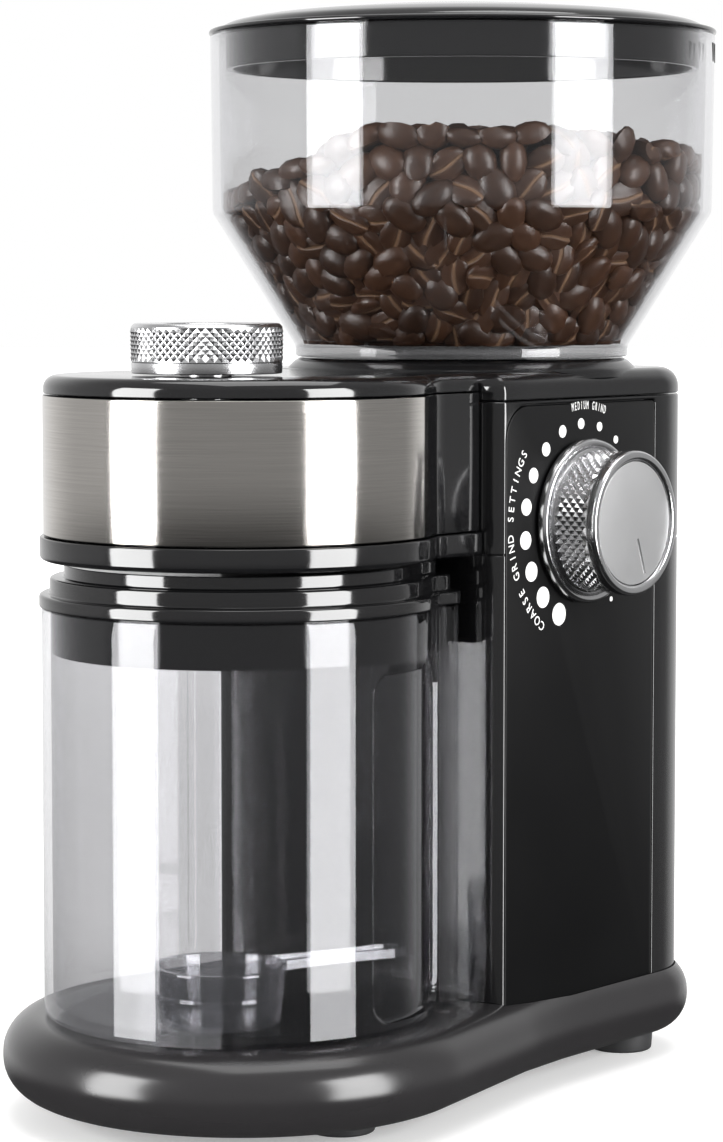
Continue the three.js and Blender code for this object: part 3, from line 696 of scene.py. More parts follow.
@dataclass(frozen=True)
class Clear(Finish):
    """Thin clear moulding: what is behind it shows through, dimmed, and its faces mirror most at the edge.

    Attributes:
        tint: Share of light that one face lets through.
        haze: Share of the face that is dull.
        dull: Colour of that dull share.
        smoke: Extra dull share, full below the first height and gone above the second.
        smoke_heights: The two heights in metres.
        mirror: Share of light that the face mirrors when it is looked at squarely.
    """

    tint: Colour = (0.93, 0.935, 0.94)
    haze: float = 0.015
    dull: Colour = (0.6, 0.6, 0.62)
    smoke: float = 0.0
    smoke_heights: tuple[float, float] = (0.0, 0.001)
    mirror: float = 0.035

    def shader(self, graph: Graph) -> Value:
        """Transparent, a mirror over it that grows as the face turns away, and a thin uneven haze.

        Args:
            graph: The material being built.

        Returns:
            The shader.
        """
        place = graph.place()
        cloud = graph.noise(place, 35, 3)
        fine = graph.noise(place, 700, 2)
        normal = graph.bump(cloud, 3e-5, 0.35)
        through = graph.node("ShaderNodeBsdfTransparent", None, {"Color": self.tint})[0]
        mirror = graph.principled(Base_Color=(0.9, 0.9, 0.92), Metallic=1.0, Roughness=0.035 + cloud * 0.03,
                                  Normal=normal)
        milk = graph.principled(Base_Color=self.dull, Roughness=0.3, Normal=normal)
        veil = self.haze * (cloud * 1.2 + fine * 0.8)
        if self.smoke:
            height = graph.node("ShaderNodeSeparateXYZ", None, {0: place})["Z"]
            veil = veil + height.step(self.smoke_heights[1], self.smoke_heights[0]) * self.smoke
        grazing = graph.node("ShaderNodeLayerWeight", None, {"Blend": 0.5, "Normal": normal})["Facing"]
        shine = grazing.math("POWER", grazing, 4.5) * 0.9 + self.mirror
        return graph.mixed(shine, graph.mixed(veil, through, milk), mirror)


@dataclass(frozen=True)
class Roasted(Finish):
    """Dark roasted coffee beans, with a pale crease along the flat side."""

    def shader(self, graph: Graph) -> Value:
        """Each bean's own tone, mottled skin, and a crease where the bean's own Y is near a wavy line.

        Args:
            graph: The material being built.

        Returns:
            The shader.
        """
        place = graph.place()
        own = graph.node("ShaderNodeAttribute", {"attribute_name": "bean_place"})["Vector"]
        roast = graph.node("ShaderNodeAttribute", {"attribute_name": "roast"})["Fac"]
        parts = graph.node("ShaderNodeSeparateXYZ", None, {0: own})
        phase = parts["X"] * 3.0 + roast * 6.0
        wave = phase.math("SINE", phase) * 0.07
        off = (parts["Y"] - wave).size()
        under = parts["Z"].step(0.05, -0.12)
        crease = off.step(0.15, 0.04) * under
        lip = off.step(0.34, 0.16) * under
        mottle = graph.noise(place, 420, 4, 0.6)
        fine = graph.noise(place, 1500, 3, 0.6)
        skin = graph.blend(mottle * 0.55 + roast * 0.45, (0.0105, 0.0043, 0.0021), (0.076, 0.0305, 0.013))
        edged = graph.blend(lip * 0.5, skin, (0.08, 0.038, 0.02))
        colour = graph.blend(crease * 0.85, edged, (0.18, 0.1, 0.052))
        height = mottle * 0.8 + fine * 0.2 - crease * 1.5 + lip * 0.3
        return graph.principled(Base_Color=colour, Roughness=0.3 + mottle * 0.22 + crease * 0.2,
                                Coat_Weight=0.22, Coat_Roughness=0.3, Normal=graph.bump(height, 0.00022, 0.8))


@dataclass(frozen=True)
class Print(Finish):
    """Screen-printed ink: slightly uneven."""

    colour: Colour = (0.8, 0.8, 0.8)

    def shader(self, graph: Graph) -> Value:
        """Fine noise on the ink's tone and polish.

        Args:
            graph: The material being built.

        Returns:
            The shader.
        """
        fine = graph.noise(graph.place(), 2500, 2)
        darker = tuple(channel * 0.85 for channel in self.colour)
        colour = graph.blend(fine, darker, self.colour)
        return graph.principled(Base_Color=colour, Roughness=0.4 + fine * 0.15)


GLOSS_BLACK = Moulded("gloss_black_abs", "gloss_black", (0.003, 0.003, 0.0033), 0.08, 0.03, 700, 2.5e-6, 0.68)
SATIN_BLACK = Moulded("satin_black_panel", "satin_black", (0.0022, 0.0022, 0.0024), 0.34, 0.05, 1800,
                      9e-6, 0.2)
INNER_BLACK = Moulded("inner_black_abs", "satin_black", (0.014, 0.014, 0.015), 0.45, 0.06, 1500, 9e-6)
CHARCOAL = Moulded("charcoal_base", "charcoal_base", (0.0135, 0.0128, 0.0135), 0.2, 0.04, 1300, 5e-6)
RUBBER = Moulded("foot_rubber", "foot_rubber", (0.02, 0.02, 0.021), 0.6, 0.08, 2400, 1.5e-5)
NYLON = Moulded("white_nylon", "nylon", (0.62, 0.6, 0.55), 0.42, 0.08, 1100, 8e-6)
BOARD = Moulded("board_green", "circuit_board", (0.015, 0.11, 0.05), 0.4, 0.1, 500, 3e-5)
STEEL_BAND = Brushed("brushed_band", "brushed_band")
ALUMINIUM = Metal("turned_aluminium", "turned_aluminium", (0.66, 0.66, 0.67), 0.23, 0.05)
BLASTED = Metal("blasted_aluminium", "turned_aluminium", (0.6, 0.6, 0.605), 0.47, 0.07, 2600, 1.2e-5)
STEEL = Metal("machined_steel", "machined_steel", (0.5, 0.505, 0.51), 0.32, 0.1, 1500, 6e-6)
BRONZE = Metal("bronze_bush", "bronze_bush", (0.6, 0.4, 0.18), 0.35, 0.1, 1500, 6e-6)
CLEAR_HOPPER = Clear("clear_hopper", "clear_hopper", (0.89, 0.89, 0.893), 0.003, (0.06, 0.06, 0.062), 0.5,
                     (0.1866, 0.1878))
SMOKY = Clear("smoky_container", "smoky_container", (0.77, 0.77, 0.776), 0.005, (0.12, 0.12, 0.125))
CLEAR_SCOOP = Clear("clear_scoop", "clear_scoop", (0.85, 0.85, 0.86), 0.06, (0.4, 0.4, 0.42), mirror=0.11)
BEANS = Roasted("roasted_beans", "coffee_bean")
WHITE_INK = Print("white_print", "nylon", (0.78, 0.78, 0.77))
BLACK_INK = Print("black_print", "satin_black", (0.02, 0.02, 0.02))


def publish(shape: Skin | bpy.types.Mesh, name: str, finish: Finish, body: Body,
            replaced: Sequence[str] = (), crease: float = 32.0,
            bend: tuple | None = None) -> bpy.types.Object:
    """Puts one finished piece into the scene, dressed and riding on its body.

    Args:
        shape: The piece's skin or mesh.
        name: The piece's name.
        finish: Its finish.
        body: The body that it rides on.
        replaced: The frame nodes that it stands for.
        crease: Edges sharper than this many degrees stay sharp.
        bend: For a piece that stretches between its body and another, that body and the two points
        in metres between which it changes over. The piece is then attached to no body and only
        has its transform baked; the body and the points are not used.

    Returns:
        The new object.
    """
    mesh = shape.mesh(name) if isinstance(shape, Skin) else shape
    mesh.name = name
    mesh.materials.clear()
    mesh.materials.append(finish.material())
    mesh.shade_smooth()
    mesh.set_sharp_from_angle(angle=math.radians(crease))
    piece = linked(name, mesh)
    if replaced:
        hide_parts(*replaced)
    if bend:
        bend[0].value
        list(bend[1:])
        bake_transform(piece)
    else:
        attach(piece, body.value)
    log.info("%s: %d faces on %s", name, len(mesh.polygons), body.value)
    return piece


# ---------------------------------------------------------------- plan outlines


def keyhole(radius: float, half: float, back: float, corner: float) -> Array:
    """A circle's front that runs straight back at half a width, with two round rear corners.

    Args:
        radius: Radius of the round front.
        half: Half the width of the part behind it.
        back: How far back it runs.
        corner: Radius of the rear corners.

    Returns:
        Corners of the outline.
    """
    start = 90 - math.degrees(math.asin(half / radius))
    corner = max(corner, 0.4)
    side = [half, radius * math.sin(math.radians(start))]
    return np.vstack([
        arc(0, 0, radius, 180 - start, 360 + start, 110),
        line(side, [half, back - corner], 3),
        arc(half - corner, back - corner, corner, 0, 90, 8),
        line([half - corner, back], [corner - half, back], 5),
        arc(corner - half, back - corner, corner, 90, 180, 8),
        line([-half, back - corner], [-half, side[1]], 3),
    ])


def shoebox(half: float, front: float, back: float, small: float, large: float, wide: float) -> Array:
    """A rectangle with two elliptical front corners, small deep and wide across, and two round back ones.

    Args:
        half: Half the width.
        front: Front Y.
        back: Back Y.
        small: Depth of the front corners.
        large: Radius of the back corners.
        wide: Width of the front corners.

    Returns:
        Corners of the outline.
    """
    curl = arc(0, 0, 1, -90, 0, 16) * np.array([wide, small])
    right = curl + np.array([half - wide, front + small])
    return np.vstack([
        right,
        line([half, front + small], [half, back - large], 6),
        arc(half - large, back - large, large, 0, 90, 26),
        line([half - large, back], [large - half, back], 6),
        arc(large - half, back - large, large, 90, 180, 26),
        line([-half, back - large], [-half, front + small], 6),
        right[::-1] * np.array([-1, 1]),
        line([wide - half, front], [half - wide, front], 6),
    ])


def eased(corners: Sequence[tuple[float, ...]], steps: int = 5) -> Array:
    """A profile whose corners are rounded by parabolas.

    A corner given with a third number r is replaced by the parabola that leaves the profile r before
    the corner and meets it again r after, with the corner as its middle control point.

    Args:
        corners: (radius, height) or (radius, height, easing) of each corner.
        steps: Points on each parabola.

    Returns:
        Rows of (radius, height).
    """
    rows: list[Array] = []
    for k, corner in enumerate(corners):
        here = np.array(corner[:2], float)
        if len(corner) < 3:
            rows.append(here[None, :])
            continue
        before = np.array(corners[k - 1][:2], float)
        after = np.array(corners[(k + 1) % len(corners)][:2], float)
        start = here + (before - here) * corner[2] / np.linalg.norm(before - here)
        end = here + (after - here) * corner[2] / np.linalg.norm(after - here)
        share = np.linspace(0, 1, steps)[:, None]
        rows.append(start * (1 - share) ** 2 + here * 2 * share * (1 - share) + end * share ** 2)
    return np.vstack(rows)


def knurled(radius: float, depth: float, heights: tuple[float, float], around: int, rows: int) -> Array:
    """Rows of corners of a diamond knurl: every other corner, by row plus column, is sunk to a valley.

    Args:
        radius: Radius at the peaks.
        depth: How deep the valleys are.
        heights: Lowest and highest row.
        around: Diamonds round the axis.
        rows: Half diamonds from bottom to top, an even number.

    Returns:
        An array of shape (rows + 1, 2 * around, 3).
    """
    height = np.linspace(*heights, rows + 1)
    angle = np.linspace(0, 2 * np.pi, 2 * around, endpoint=False)
    row, column = np.meshgrid(np.arange(rows + 1), np.arange(2 * around), indexing="ij")
    sunk = (row + column) % 2 == 0
    reach = np.where(sunk, radius - depth, radius)
    reach[[0, -1]] = radius - depth / 2
    lift = np.broadcast_to(height[:, None], reach.shape)
    return np.stack([reach * np.cos(angle), reach * np.sin(angle), lift], -1)


def knurled_body(below: Array, band: Array, above: Array, ends: Ends) -> Skin:
    """A turned body with a knurled band between two plain profiles.

    Args:
        below: Profile that comes before the band.
        band: Rows of the knurl.
        above: Profile that comes after it.
        ends: How the first and last row are closed.

    Returns:
        The closed skin.
    """
    wide = band.shape[1]
    first, last = turned_points(below, wide), turned_points(above, wide)
    start = len(first) if len(first) % 2 == 0 else len(first) + 1
    if start != len(first):
        first = np.concatenate([first[:1], (first[:1] + first[1:2]) / 2, first[1:]])
    rows = np.concatenate([first, band, last])
    return Skin.grid(rows, ends, slice(start, start + len(band) - 1))


# ---------------------------------------------------------------- sub-assemblies


@dataclass
class Base:
    """The flared base and its four feet."""

    front_y: float = -46.5
    front_radius: float = 60.0
    half_width: float = 50.0
    back_y: float = 91.0
    corner: float = 24.0
    flare_end_y: float = 15.0
    edge_round: float = 9.5
    plate_inset: float = 11.5

    def outline(self, inset: float) -> Array:
        """The plan: a round front, its tangents to two straight sides, and round back corners.

        Args:
            inset: How far the outline is drawn in.

        Returns:
            Corners of the outline.
        """
        radius, half = self.front_radius - inset, self.half_width - inset
        corner, back = self.corner - inset, self.back_y - inset
        reach = np.array([half, self.flare_end_y - self.front_y])
        tangent = math.degrees(math.atan2(reach[1], reach[0]) - math.acos(radius / np.linalg.norm(reach)))
        front = arc(0, self.front_y, radius, 180 - tangent, 360 + tangent, 140)
        return np.vstack([
            front,
            line(front[-1], [half, self.flare_end_y], 6),
            line([half, self.flare_end_y - 0.01], [half, back - corner], 4),
            arc(half - corner, back - corner, corner, 0, 90, 26),
            line([half - corner, back], [corner - half, back], 4),
            arc(corner - half, back - corner, corner, 90, 180, 26),
            line([-half, back - corner], [-half, self.flare_end_y - 0.01], 4),
            line([-half, self.flare_end_y], front[0], 6),
        ])

    def build(self, tower: "Tower") -> None:
        """Makes the base with its tower pocket and underside recess, and the feet.

        Args:
            tower: The tower that stands in the base.
        """
        low, high = span("base_shell", 2)
        middle = (low + high) / 2
        turn = np.linspace(0, np.pi / 2, 12)
        rise = (high - low) / 2 - 0.5
        upper = np.column_stack([self.edge_round * (1 - np.cos(turn)), high - rise * (1 - np.sin(turn))])
        lower = np.column_stack([upper[:, 0], 2 * middle - upper[:, 1]])[::-1]
        whole = lofted(self.outline, np.vstack([lower, upper]))
        pocket_low = span("tower_casing", 2)[0] - 0.3
        levels = [(0, pocket_low), (0, high - 0.3), (-0.3, high), (-0.3, high + 2)]
        pocket = lofted(lambda inset: tower.outline(inset - 0.35), levels)
        hollow = lofted(self.outline, [(self.plate_inset, low - 2), (self.plate_inset, low + 3)])
        base = combined(whole, cut=[pocket, hollow])
        publish(base, "base_moulding", CHARCOAL, Body.HOUSING, ["base_shell"])
        for name in ("foot_front_right", "foot_front_left", "foot_rear_right", "foot_rear_left"):
            x, y = (sum(span(name, axis)) / 2 for axis in (0, 1))
            radius, top = (span(name, 0)[1] - span(name, 0)[0]) / 2, span(name, 2)[1]
            foot = turned(eased([(0.4, 0.6), (radius - 2.4, 0.6), (radius - 2, 0), (radius - 0.3, 0, 0.8),
                                 (radius, top, 0.1), (0.4, top)]), 64)
            publish(foot.moved(x, y), name + "_pad", RUBBER, Body.HOUSING, [name])


@dataclass
class Tower:
    """The casing, its side panels with the printed scale, the cap with the hopper's seat, the inlet."""

    half_width: float = 46.5
    front_y: float = -5.5
    back_y: float = 88.5
    front_corner: float = 3.4
    corner_width: float = 11.0
    back_corner: float = 22.0
    wall: float = 4.0
    seam_z: float = 136.8
    panel_depth: float = 1.5
    panel_front_y: float = -2.5
    panel_back_y: float = 62.5
    panel_low: float = 18.3
    panel_top: float = 173.5
    panel_round: float = 9.0
    cap_round: float = 5.0
    door_half_width: float = 36.5
    slots: int = 5
    slot_low: float = 56.0
    slot_pitch: float = 8.0

    def outline(self, inset: float) -> Array:
        """The plan of the tower, drawn in by an inset.

        Args:
            inset: How far the outline is drawn in.

        Returns:
            Corners of the outline.
        """
        return shoebox(self.half_width - inset, self.front_y + inset, self.back_y - inset,
                       max(self.front_corner - inset, 0.6), self.back_corner - inset,
                       max(self.corner_width - inset, 0.6))

    def panel_outline(self, inset: float) -> Array:
        """A side panel in (Y, Z), with one large radius at its upper front corner.

        Args:
            inset: How far the outline is drawn in.

        Returns:
            Corners of the outline.
        """
        front, back = self.panel_front_y + inset, self.panel_back_y - inset
        low, top, large, small = self.panel_low + inset, self.panel_top - inset, self.panel_round - inset, 1.2
        return np.vstack([
            arc(front + small, low + small, small, 180, 270, 6),
            arc(back - small, low + small, small, 270, 360, 6),
            arc(back - small, top - small, small, 0, 90, 6),
            arc(front + large, top - large, large, 90, 180, 20),
        ])

    def sideways(self, levels: Any, side: int) -> Skin:
        """A solid through panel outlines, with its levels measured outwards along X on one side."""
        return lofted(self.panel_outline, levels).mapped([[0, 1, 0], [0, 0, 1], [side, 0, 0]])

    def build(self, dial: "Dial") -> None:
        """Makes every piece of the tower.

        Args:
            dial: The dial on the right side.
        """
        self.build_casing(dial)
        self.build_panels(dial)
        self.build_cap()
        profile = eased([(3.5, -6), (6, -6), (6, 0.4), (8, 0.4, 0.4), (7.6, 1.6, 0.6), (6.2, 3, 0.5),
                         (3.5, 3, 0.5)])
        inlet = self.behind(turned(profile, 64, Ends.LOOPED))
        publish(inlet, "cord_inlet_bush", RUBBER, Body.HOUSING, ["cord_inlet"])

    def behind(self, skin: Skin) -> Skin:
        """A skin of the inlet's own frame, whose Z runs out of the back wall."""
        return skin.mapped(BACKWARDS, (0, self.back_y, sum(span("cord_inlet", 2)) / 2))

    def build_casing(self, dial: "Dial") -> None:
        """The casing: a wall with a seam line, panel recesses, rear slots, inlet and dial holes.

        Args:
            dial: The dial, whose shaft goes through.
        """
        low, high = span("tower_casing", 2)
        seam, soft = 0.35, 0.3
        outside = [(soft, low), (0, low + soft), (0, self.seam_z - seam), (seam, self.seam_z - 0.05),
                   (seam, self.seam_z + 0.05), (0, self.seam_z + seam), (0, high - soft), (soft, high)]
        wall = lofted(self.outline, [*outside, (self.wall, high), (self.wall, low)], Ends.LOOPED)
        deep, flush = self.half_width - self.panel_depth - 0.3, self.half_width
        recess = [(0, deep), (0, flush - 0.35), (-0.12, flush - 0.1), (-0.4, flush + 0.02), (-0.4, flush + 9)]
        cutters = [self.sideways(recess, side) for side in (1, -1)]
        for k in range(self.slots):
            foot = self.slot_low + self.slot_pitch * k
            cutters.append(box((-18, self.back_y - 9, foot), (18, self.back_y + 9, foot + 3)))
        hole = self.behind(turned([(6.3, -20), (6.3, 20)], 48))
        cutters += [hole, self.door(self.seam_z + 0.6, high + 1), dial.rod(6, -20, 9)]
        casing = combined(wall, cut=cutters)
        publish(casing, "tower_moulding", GLOSS_BLACK, Body.HOUSING, ["tower_casing"])

    def door(self, low: float, high: float) -> Skin:
        """A cutter for the opening between the tower and the head."""
        half = self.door_half_width
        return box((-half, self.front_y - 9, low), (half, self.front_y + 9, high))

    def build_panels(self, dial: "Dial") -> None:
        """The two satin side panels and the scale printed on the right one.

        Args:
            dial: The dial, whose shaft goes through.
        """
        flush, gap, soft = self.half_width, 0.3, 0.3
        for side, name in ((1, "side_panel_right"), (-1, "side_panel_left")):
            levels = [(gap, flush - self.panel_depth), (gap, flush - soft), (gap + 0.09, flush - 0.09),
                      (gap + soft, flush)]
            cutters = [dial.rod(6, -9, 9)] if side > 0 else []
            plate = combined(self.sideways(levels, side), cut=cutters)
            publish(plate, name + "_plate", SATIN_BLACK, Body.HOUSING, [name])
        publish(joined(self.scale_dots(dial)), "scale_dots", WHITE_INK, Body.HOUSING)
        words = joined([*self.words(dial, "MEDIUM GRIND", 86, 28.2, 1.24, 3.0, 0.43),
                        *self.words(dial, "COARSE GRIND SETTINGS", 190, 30.0, 2.35, 3.3, 0.9)])
        publish(words, "scale_words", WHITE_INK, Body.HOUSING, crease=20)

    def on_panel(self, flat: Skin, dial: "Dial", thickness: float = 0.1) -> Skin:
        """A flat piece about the dial's axis, laid on the right panel's face; its Z is outwards."""
        skin = Skin(flat.points * np.array([1, 1, thickness]), flat.faces)
        return skin.mapped(SIDEWAYS, (self.half_width - 0.02, dial.y, dial.z))

    def scale_dots(self, dial: "Dial") -> list[Skin]:
        """Dots on a circle round the dial that grow from fine to coarse.

        Args:
            dial: The dial in their middle.

        Returns:
            A skin for each dot.
        """
        dots = []
        for k in range(17):
            degrees = 245.5 - 19.05 * k
            across = max(5.7 - 0.37 * k, 2.0 - 0.13 * (k - 10))
            reach = 23.9 + 0.25 * across
            x, y = reach * math.cos(math.radians(degrees)), reach * math.sin(math.radians(degrees))
            dots.append(self.on_panel(turned([(across / 2, 0), (across / 2, 1)], 32).moved(x, y), dial))
        return dots

    def words(self, dial: "Dial", text: str, middle: float, radius: float, advance: float, size: float,
              narrow: float) -> list[Skin]:
        """Letters set clockwise round the dial, each upright on the circle.

        Args:
            dial: The dial that they go round.
            text: The letters.
            middle: Angle of the middle of the text, in degrees.
            radius: Radius of the circle that they stand on.
            advance: Distance between letters.
            size: Font size.
            narrow: Share of the letters' natural width.

        Returns:
            A skin for each letter.
        """
        letters = []
        for k, letter in enumerate(text):
            if letter == " ":
                continue
            curve = bpy.data.curves.new("letter", "FONT")
            curve.body, curve.align_x = letter, "CENTER"
            curve.size, curve.extrude, curve.resolution_u = 1.0, 0.5, 3
            holder = linked("letter", curve)
            shape = finished(holder)
            points = np.empty(len(shape.vertices) * 3)
            shape.vertices.foreach_get("co", points)
            points = points.reshape(-1, 3) * np.array([size * narrow, size, 1]) + np.array([0, radius, 0.5])
            turn = math.radians(middle - 90 - (k - (len(text) - 1) / 2) * math.degrees(advance / radius))
            x = points[:, 0] * math.cos(turn) - points[:, 1] * math.sin(turn)
            y = points[:, 0] * math.sin(turn) + points[:, 1] * math.cos(turn)
            faces = [list(face.vertices) for face in shape.polygons]
            flat = Skin(np.column_stack([x, y, points[:, 2]]), faces)
            letters.append(self.on_panel(flat, dial))
            bpy.data.objects.remove(holder)
            bpy.data.curves.remove(curve)
            bpy.data.meshes.remove(shape)
        return letters

    def build_cap(self) -> None:
        """The cap with its rounded shoulder, the raised seat, the neck's hole and the bayonet notches."""
        low, seat_top = span("tower_cap", 2)
        deck, neck, axis_y = 181.5, 20.2, sum(span("hopper_body", 1)) / 2
        turn = np.linspace(0, np.pi / 2, 10)
        curve = self.cap_round * (1 - np.column_stack([np.cos(turn), np.sin(turn)]))
        shoulder = np.array([0, deck]) + curve * np.array([1, -1])
        cap = lofted(self.outline, np.vstack([[(0.25, low), (0, low + 0.25)], shoulder]))
        seat = turned(eased([(25, deck - 2), (46, deck - 2), (45.6, deck, 0.6), (43.6, seat_top - 0.6, 1.2),
                             (42.2, seat_top, 0.4), (25, seat_top)]), 128, Ends.LOOPED).moved(0, axis_y)
        room = lofted(self.outline, [(2.5, low - 1), (2.5, deck - 2.5)])
        hole = turned([(neck, low), (neck, seat_top + 2)], 96).moved(0, axis_y)
        notches = []
        for k in range(3):
            notch = box((neck - 2, -5, deck - 4), (neck + 3.3, 5, seat_top + 2))
            notches.append(notch.mapped(spun(math.radians(60 + 120 * k)), (0, axis_y, 0)))
        body = combined(cap, cut=[room, self.door(low - 1, deck - 2.5)])
        body = combined(body, [seat], [hole, *notches])
        publish(body, "tower_cap_moulding", GLOSS_BLACK, Body.HOUSING, ["tower_cap"])


@dataclass
class Head:
    """The head in front of the tower: lower lip, shell, steel band and cover."""

    y: float = -48.5
    radius: float = 47.9
    neck_half: float = 41.0
    back: float = 42.7
    band_half_angle: float = 111.4
    band_corner: float = 3.2

    def outline(self, inset: float) -> Array:
        """The plan of the head about its own axis."""
        return keyhole(self.radius - inset, self.neck_half - inset, self.back, 0.5)

    def hollow(self, wall: float, low: float, high: float) -> Skin:
        """A cutter for the room inside a wall's thickness, which runs out through the back."""
        return lofted(lambda _: keyhole(self.radius - wall, self.neck_half - wall, self.back + 5, 0.5),
                      [(0, low), (0, high)])

    def build(self) -> None:
        """Makes the four pieces of the head."""
        lip_low, lip_high = span("head_lower", 2)
        low, high = span("head_shell", 2)
        cover_low, deck = span("head_cover", 2)
        at_head = (0, self.y, 0)

        outside = rounded(lip_low, lip_high, 1.2, 0.5) + np.array([-0.9, 0])
        tray = self.hollow(2.2, lip_low + 2.5, lip_high + 1)
        slot = box((-15.3, -15.8, lip_low - 1), (15.3, self.back + 1, lip_low + 9))
        lip = combined(lofted(self.outline, outside), cut=[tray, slot])
        publish(self.placed(lip, at_head), "head_lip", GLOSS_BLACK, Body.HOUSING, ["head_lower"])

        wall = lofted(self.outline, rounded(low, high, 0.3, 0.3, 4))
        ends = (-90 - self.band_half_angle, -90 + self.band_half_angle)
        recess = wrapped_slab(self.radius - 1.3, self.radius + 0.6, (ends[0] - 0.35, ends[1] + 0.35),
                              (low + 0.06, high - 0.06), self.band_corner)
        shell = combined(wall, cut=[self.hollow(3.5, low - 1, high + 1), recess])
        publish(self.placed(shell, at_head), "head_frame", GLOSS_BLACK, Body.HOUSING, ["head_shell"])

        heights = (low + 0.15, high - 0.15)
        band = wrapped_slab(self.radius - 1, self.radius, ends, heights, self.band_corner, 0.22)
        publish(band.moved(*at_head), "brushed_steel_band", STEEL_BAND, Body.HOUSING, ["steel_band"], 40)

        knob_y = sum(span("selector_knob", 1)) / 2 - self.y
        cover = lofted(self.outline, rounded(cover_low, deck, 0.3, 3.2, 10) + np.array([0.2, 0]))
        stem = turned([(6.6, cover_low - 1), (6.6, deck + 1)], 48).moved(0, knob_y)
        cover = self.placed(combined(cover, cut=[stem]), at_head)
        publish(cover, "head_top_cover", GLOSS_BLACK, Body.HOUSING, ["head_cover"])

    @staticmethod
    def placed(mesh: bpy.types.Mesh, place: Sequence[float]) -> bpy.types.Mesh:
        """The mesh moved by an offset in millimetres."""
        mesh.transform(Matrix.Translation(Vector(place) * MM))
        return mesh


def coil(radius: float, wire: float, heights: tuple[float, float], turns: int) -> Skin:
    """A coil spring: a round wire whose centre climbs evenly as it goes round Z.

    Args:
        radius: Radius of the coil.
        wire: Radius of the wire.
        heights: Lowest and highest Z of the wire's surface.
        turns: Turns from end to end.

    Returns:
        The closed wire.
    """
    share = np.linspace(0, 1, 36 * turns + 1)[:, None]
    around = np.linspace(0, 2 * np.pi, 8, endpoint=False)[None, :]
    reach = radius + wire * np.cos(around) + 0 * share
    climb = heights[0] + wire + share * (heights[1] - heights[0] - 2 * wire) + wire * np.sin(around)
    turn = 2 * np.pi * turns * share
    return Skin.grid(np.stack([reach * np.cos(turn), reach * np.sin(turn), climb], -1))


@dataclass
class Selector:
    """The knurled cup selector on the head, and the start button in its middle."""

    diamonds: int = 58
    depth: float = 0.42
    radius: float = 18.4

    def build(self) -> None:
        """Makes the knob and the button."""
        y = sum(span("selector_knob", 1)) / 2
        foot, top = span("selector_knob", 2)
        low, floor = 182.0, 184.4
        knurl = (low + 2.9, top - 1.0)
        below = eased([(3.7, floor), (3.7, foot), (5.9, foot), (5.9, low), (self.radius - 0.3, low, 0.3),
                       (self.radius - 0.15, low + 2.6, 0.2)])
        above = eased([(self.radius - 0.2, top - 0.85), (self.radius - 0.9, top, 0.5), (10.9, top, 0.4),
                       (10.4, top - 0.6), (10.4, floor)])
        band = knurled(self.radius, self.depth, knurl, self.diamonds, 8)
        knob = knurled_body(below, band, above, Ends.LOOPED)
        publish(knob.moved(0, y), "selector_knob_knurled", ALUMINIUM, Body.SELECTOR, ["selector_knob"], 24)
        stem_low, cap = span("start_button", 2)
        under = 187.6
        button = turned(eased([(0.3, stem_low), (3.3, stem_low), (3.3, under), (10, under, 0.3),
                               (10, cap, 0.6), (7.5, cap - 0.15, 0.5), (0.3, cap - 0.55)]), 96)
        publish(button.moved(0, y), "start_button_cap", SATIN_BLACK, Body.BUTTON, ["start_button"])
        low, high = span("start_spring", 2)
        spring = coil(6.5, 0.35, (low, high), 2).moved(0, y)
        bend = Body.BUTTON, (0, y * MM, low * MM), (0, y * MM, high * MM)
        publish(spring, "start_spring_coil", STEEL, Body.SELECTOR, ["start_spring"], 60, bend)


@dataclass
class Dial:
    """The knurled grind dial on the right panel, in a frame whose Z runs out along +X."""

    x: float = 46.5
    y: float = 30.6
    z: float = 143.6
    diamonds: int = 48
    depth: float = 0.62
    barrel: float = 17.95
    pointer: float = -70.0

    def laid(self, skin: Skin) -> Skin:
        """A skin of the dial's own frame in the row frame."""
        return skin.mapped(SIDEWAYS, (self.x, self.y, self.z))

    def rod(self, radius: float, low: float, high: float) -> Skin:
        """A rod on the dial's axis, to cut holes with."""
        return self.laid(turned([(radius, low), (radius, high)], 48))

    def build(self) -> None:
        """Makes the dial's body and its blasted face."""
        below = eased([(0.4, 11.3), (3.8, 11.3), (3.8, 0.5), (20.4, 0.5, 0.3), (20.8, 1.0, 0.3),
                       (20.8, 2.5, 0.5), (20.1, 3.3, 0.4), (18.9, 3.1, 0.3), (18.3, 2.6, 0.3),
                       (17.5, 2.9, 0.2)])
        above = eased([(18.0, 13.35, 0.1), (18.2, 13.6, 0.1), (18.2, 15.7, 0.5), (17.7, 16.3, 0.3),
                       (16.3, 16.3, 0.3), (15.75, 15.7, 0.2), (15.7, 14.5), (0.4, 14.5)])
        band = knurled(self.barrel, self.depth, (3.5, 13.1), self.diamonds, 8)
        body = knurled_body(below, band, above, Ends.CAPPED)
        publish(self.laid(body), "dial_knob_knurled", ALUMINIUM, Body.DIAL, ["dial_knob"], 24)
        face = turned(eased([(0.3, 14.8), (15.5, 14.8), (15.5, 15.6, 0.15), (0.3, 15.6)]), 128)
        slot = np.vstack([arc(13.6, 0, 0.38, -90, 90, 10), arc(4.6, 0, 0.38, 90, 270, 10)])
        levels = [(0.45, 15.15), (0, 15.5), (-0.5, 15.75), (-0.5, 17)]
        groove = lofted(lambda inset: slot * (1 - inset * np.array([0, 1])), levels)
        groove = self.laid(groove.mapped(spun(math.radians(self.pointer))))
        face = combined(self.laid(face), cut=[groove])
        publish(face, "dial_face_blasted", BLASTED, Body.DIAL, ["dial_face"])


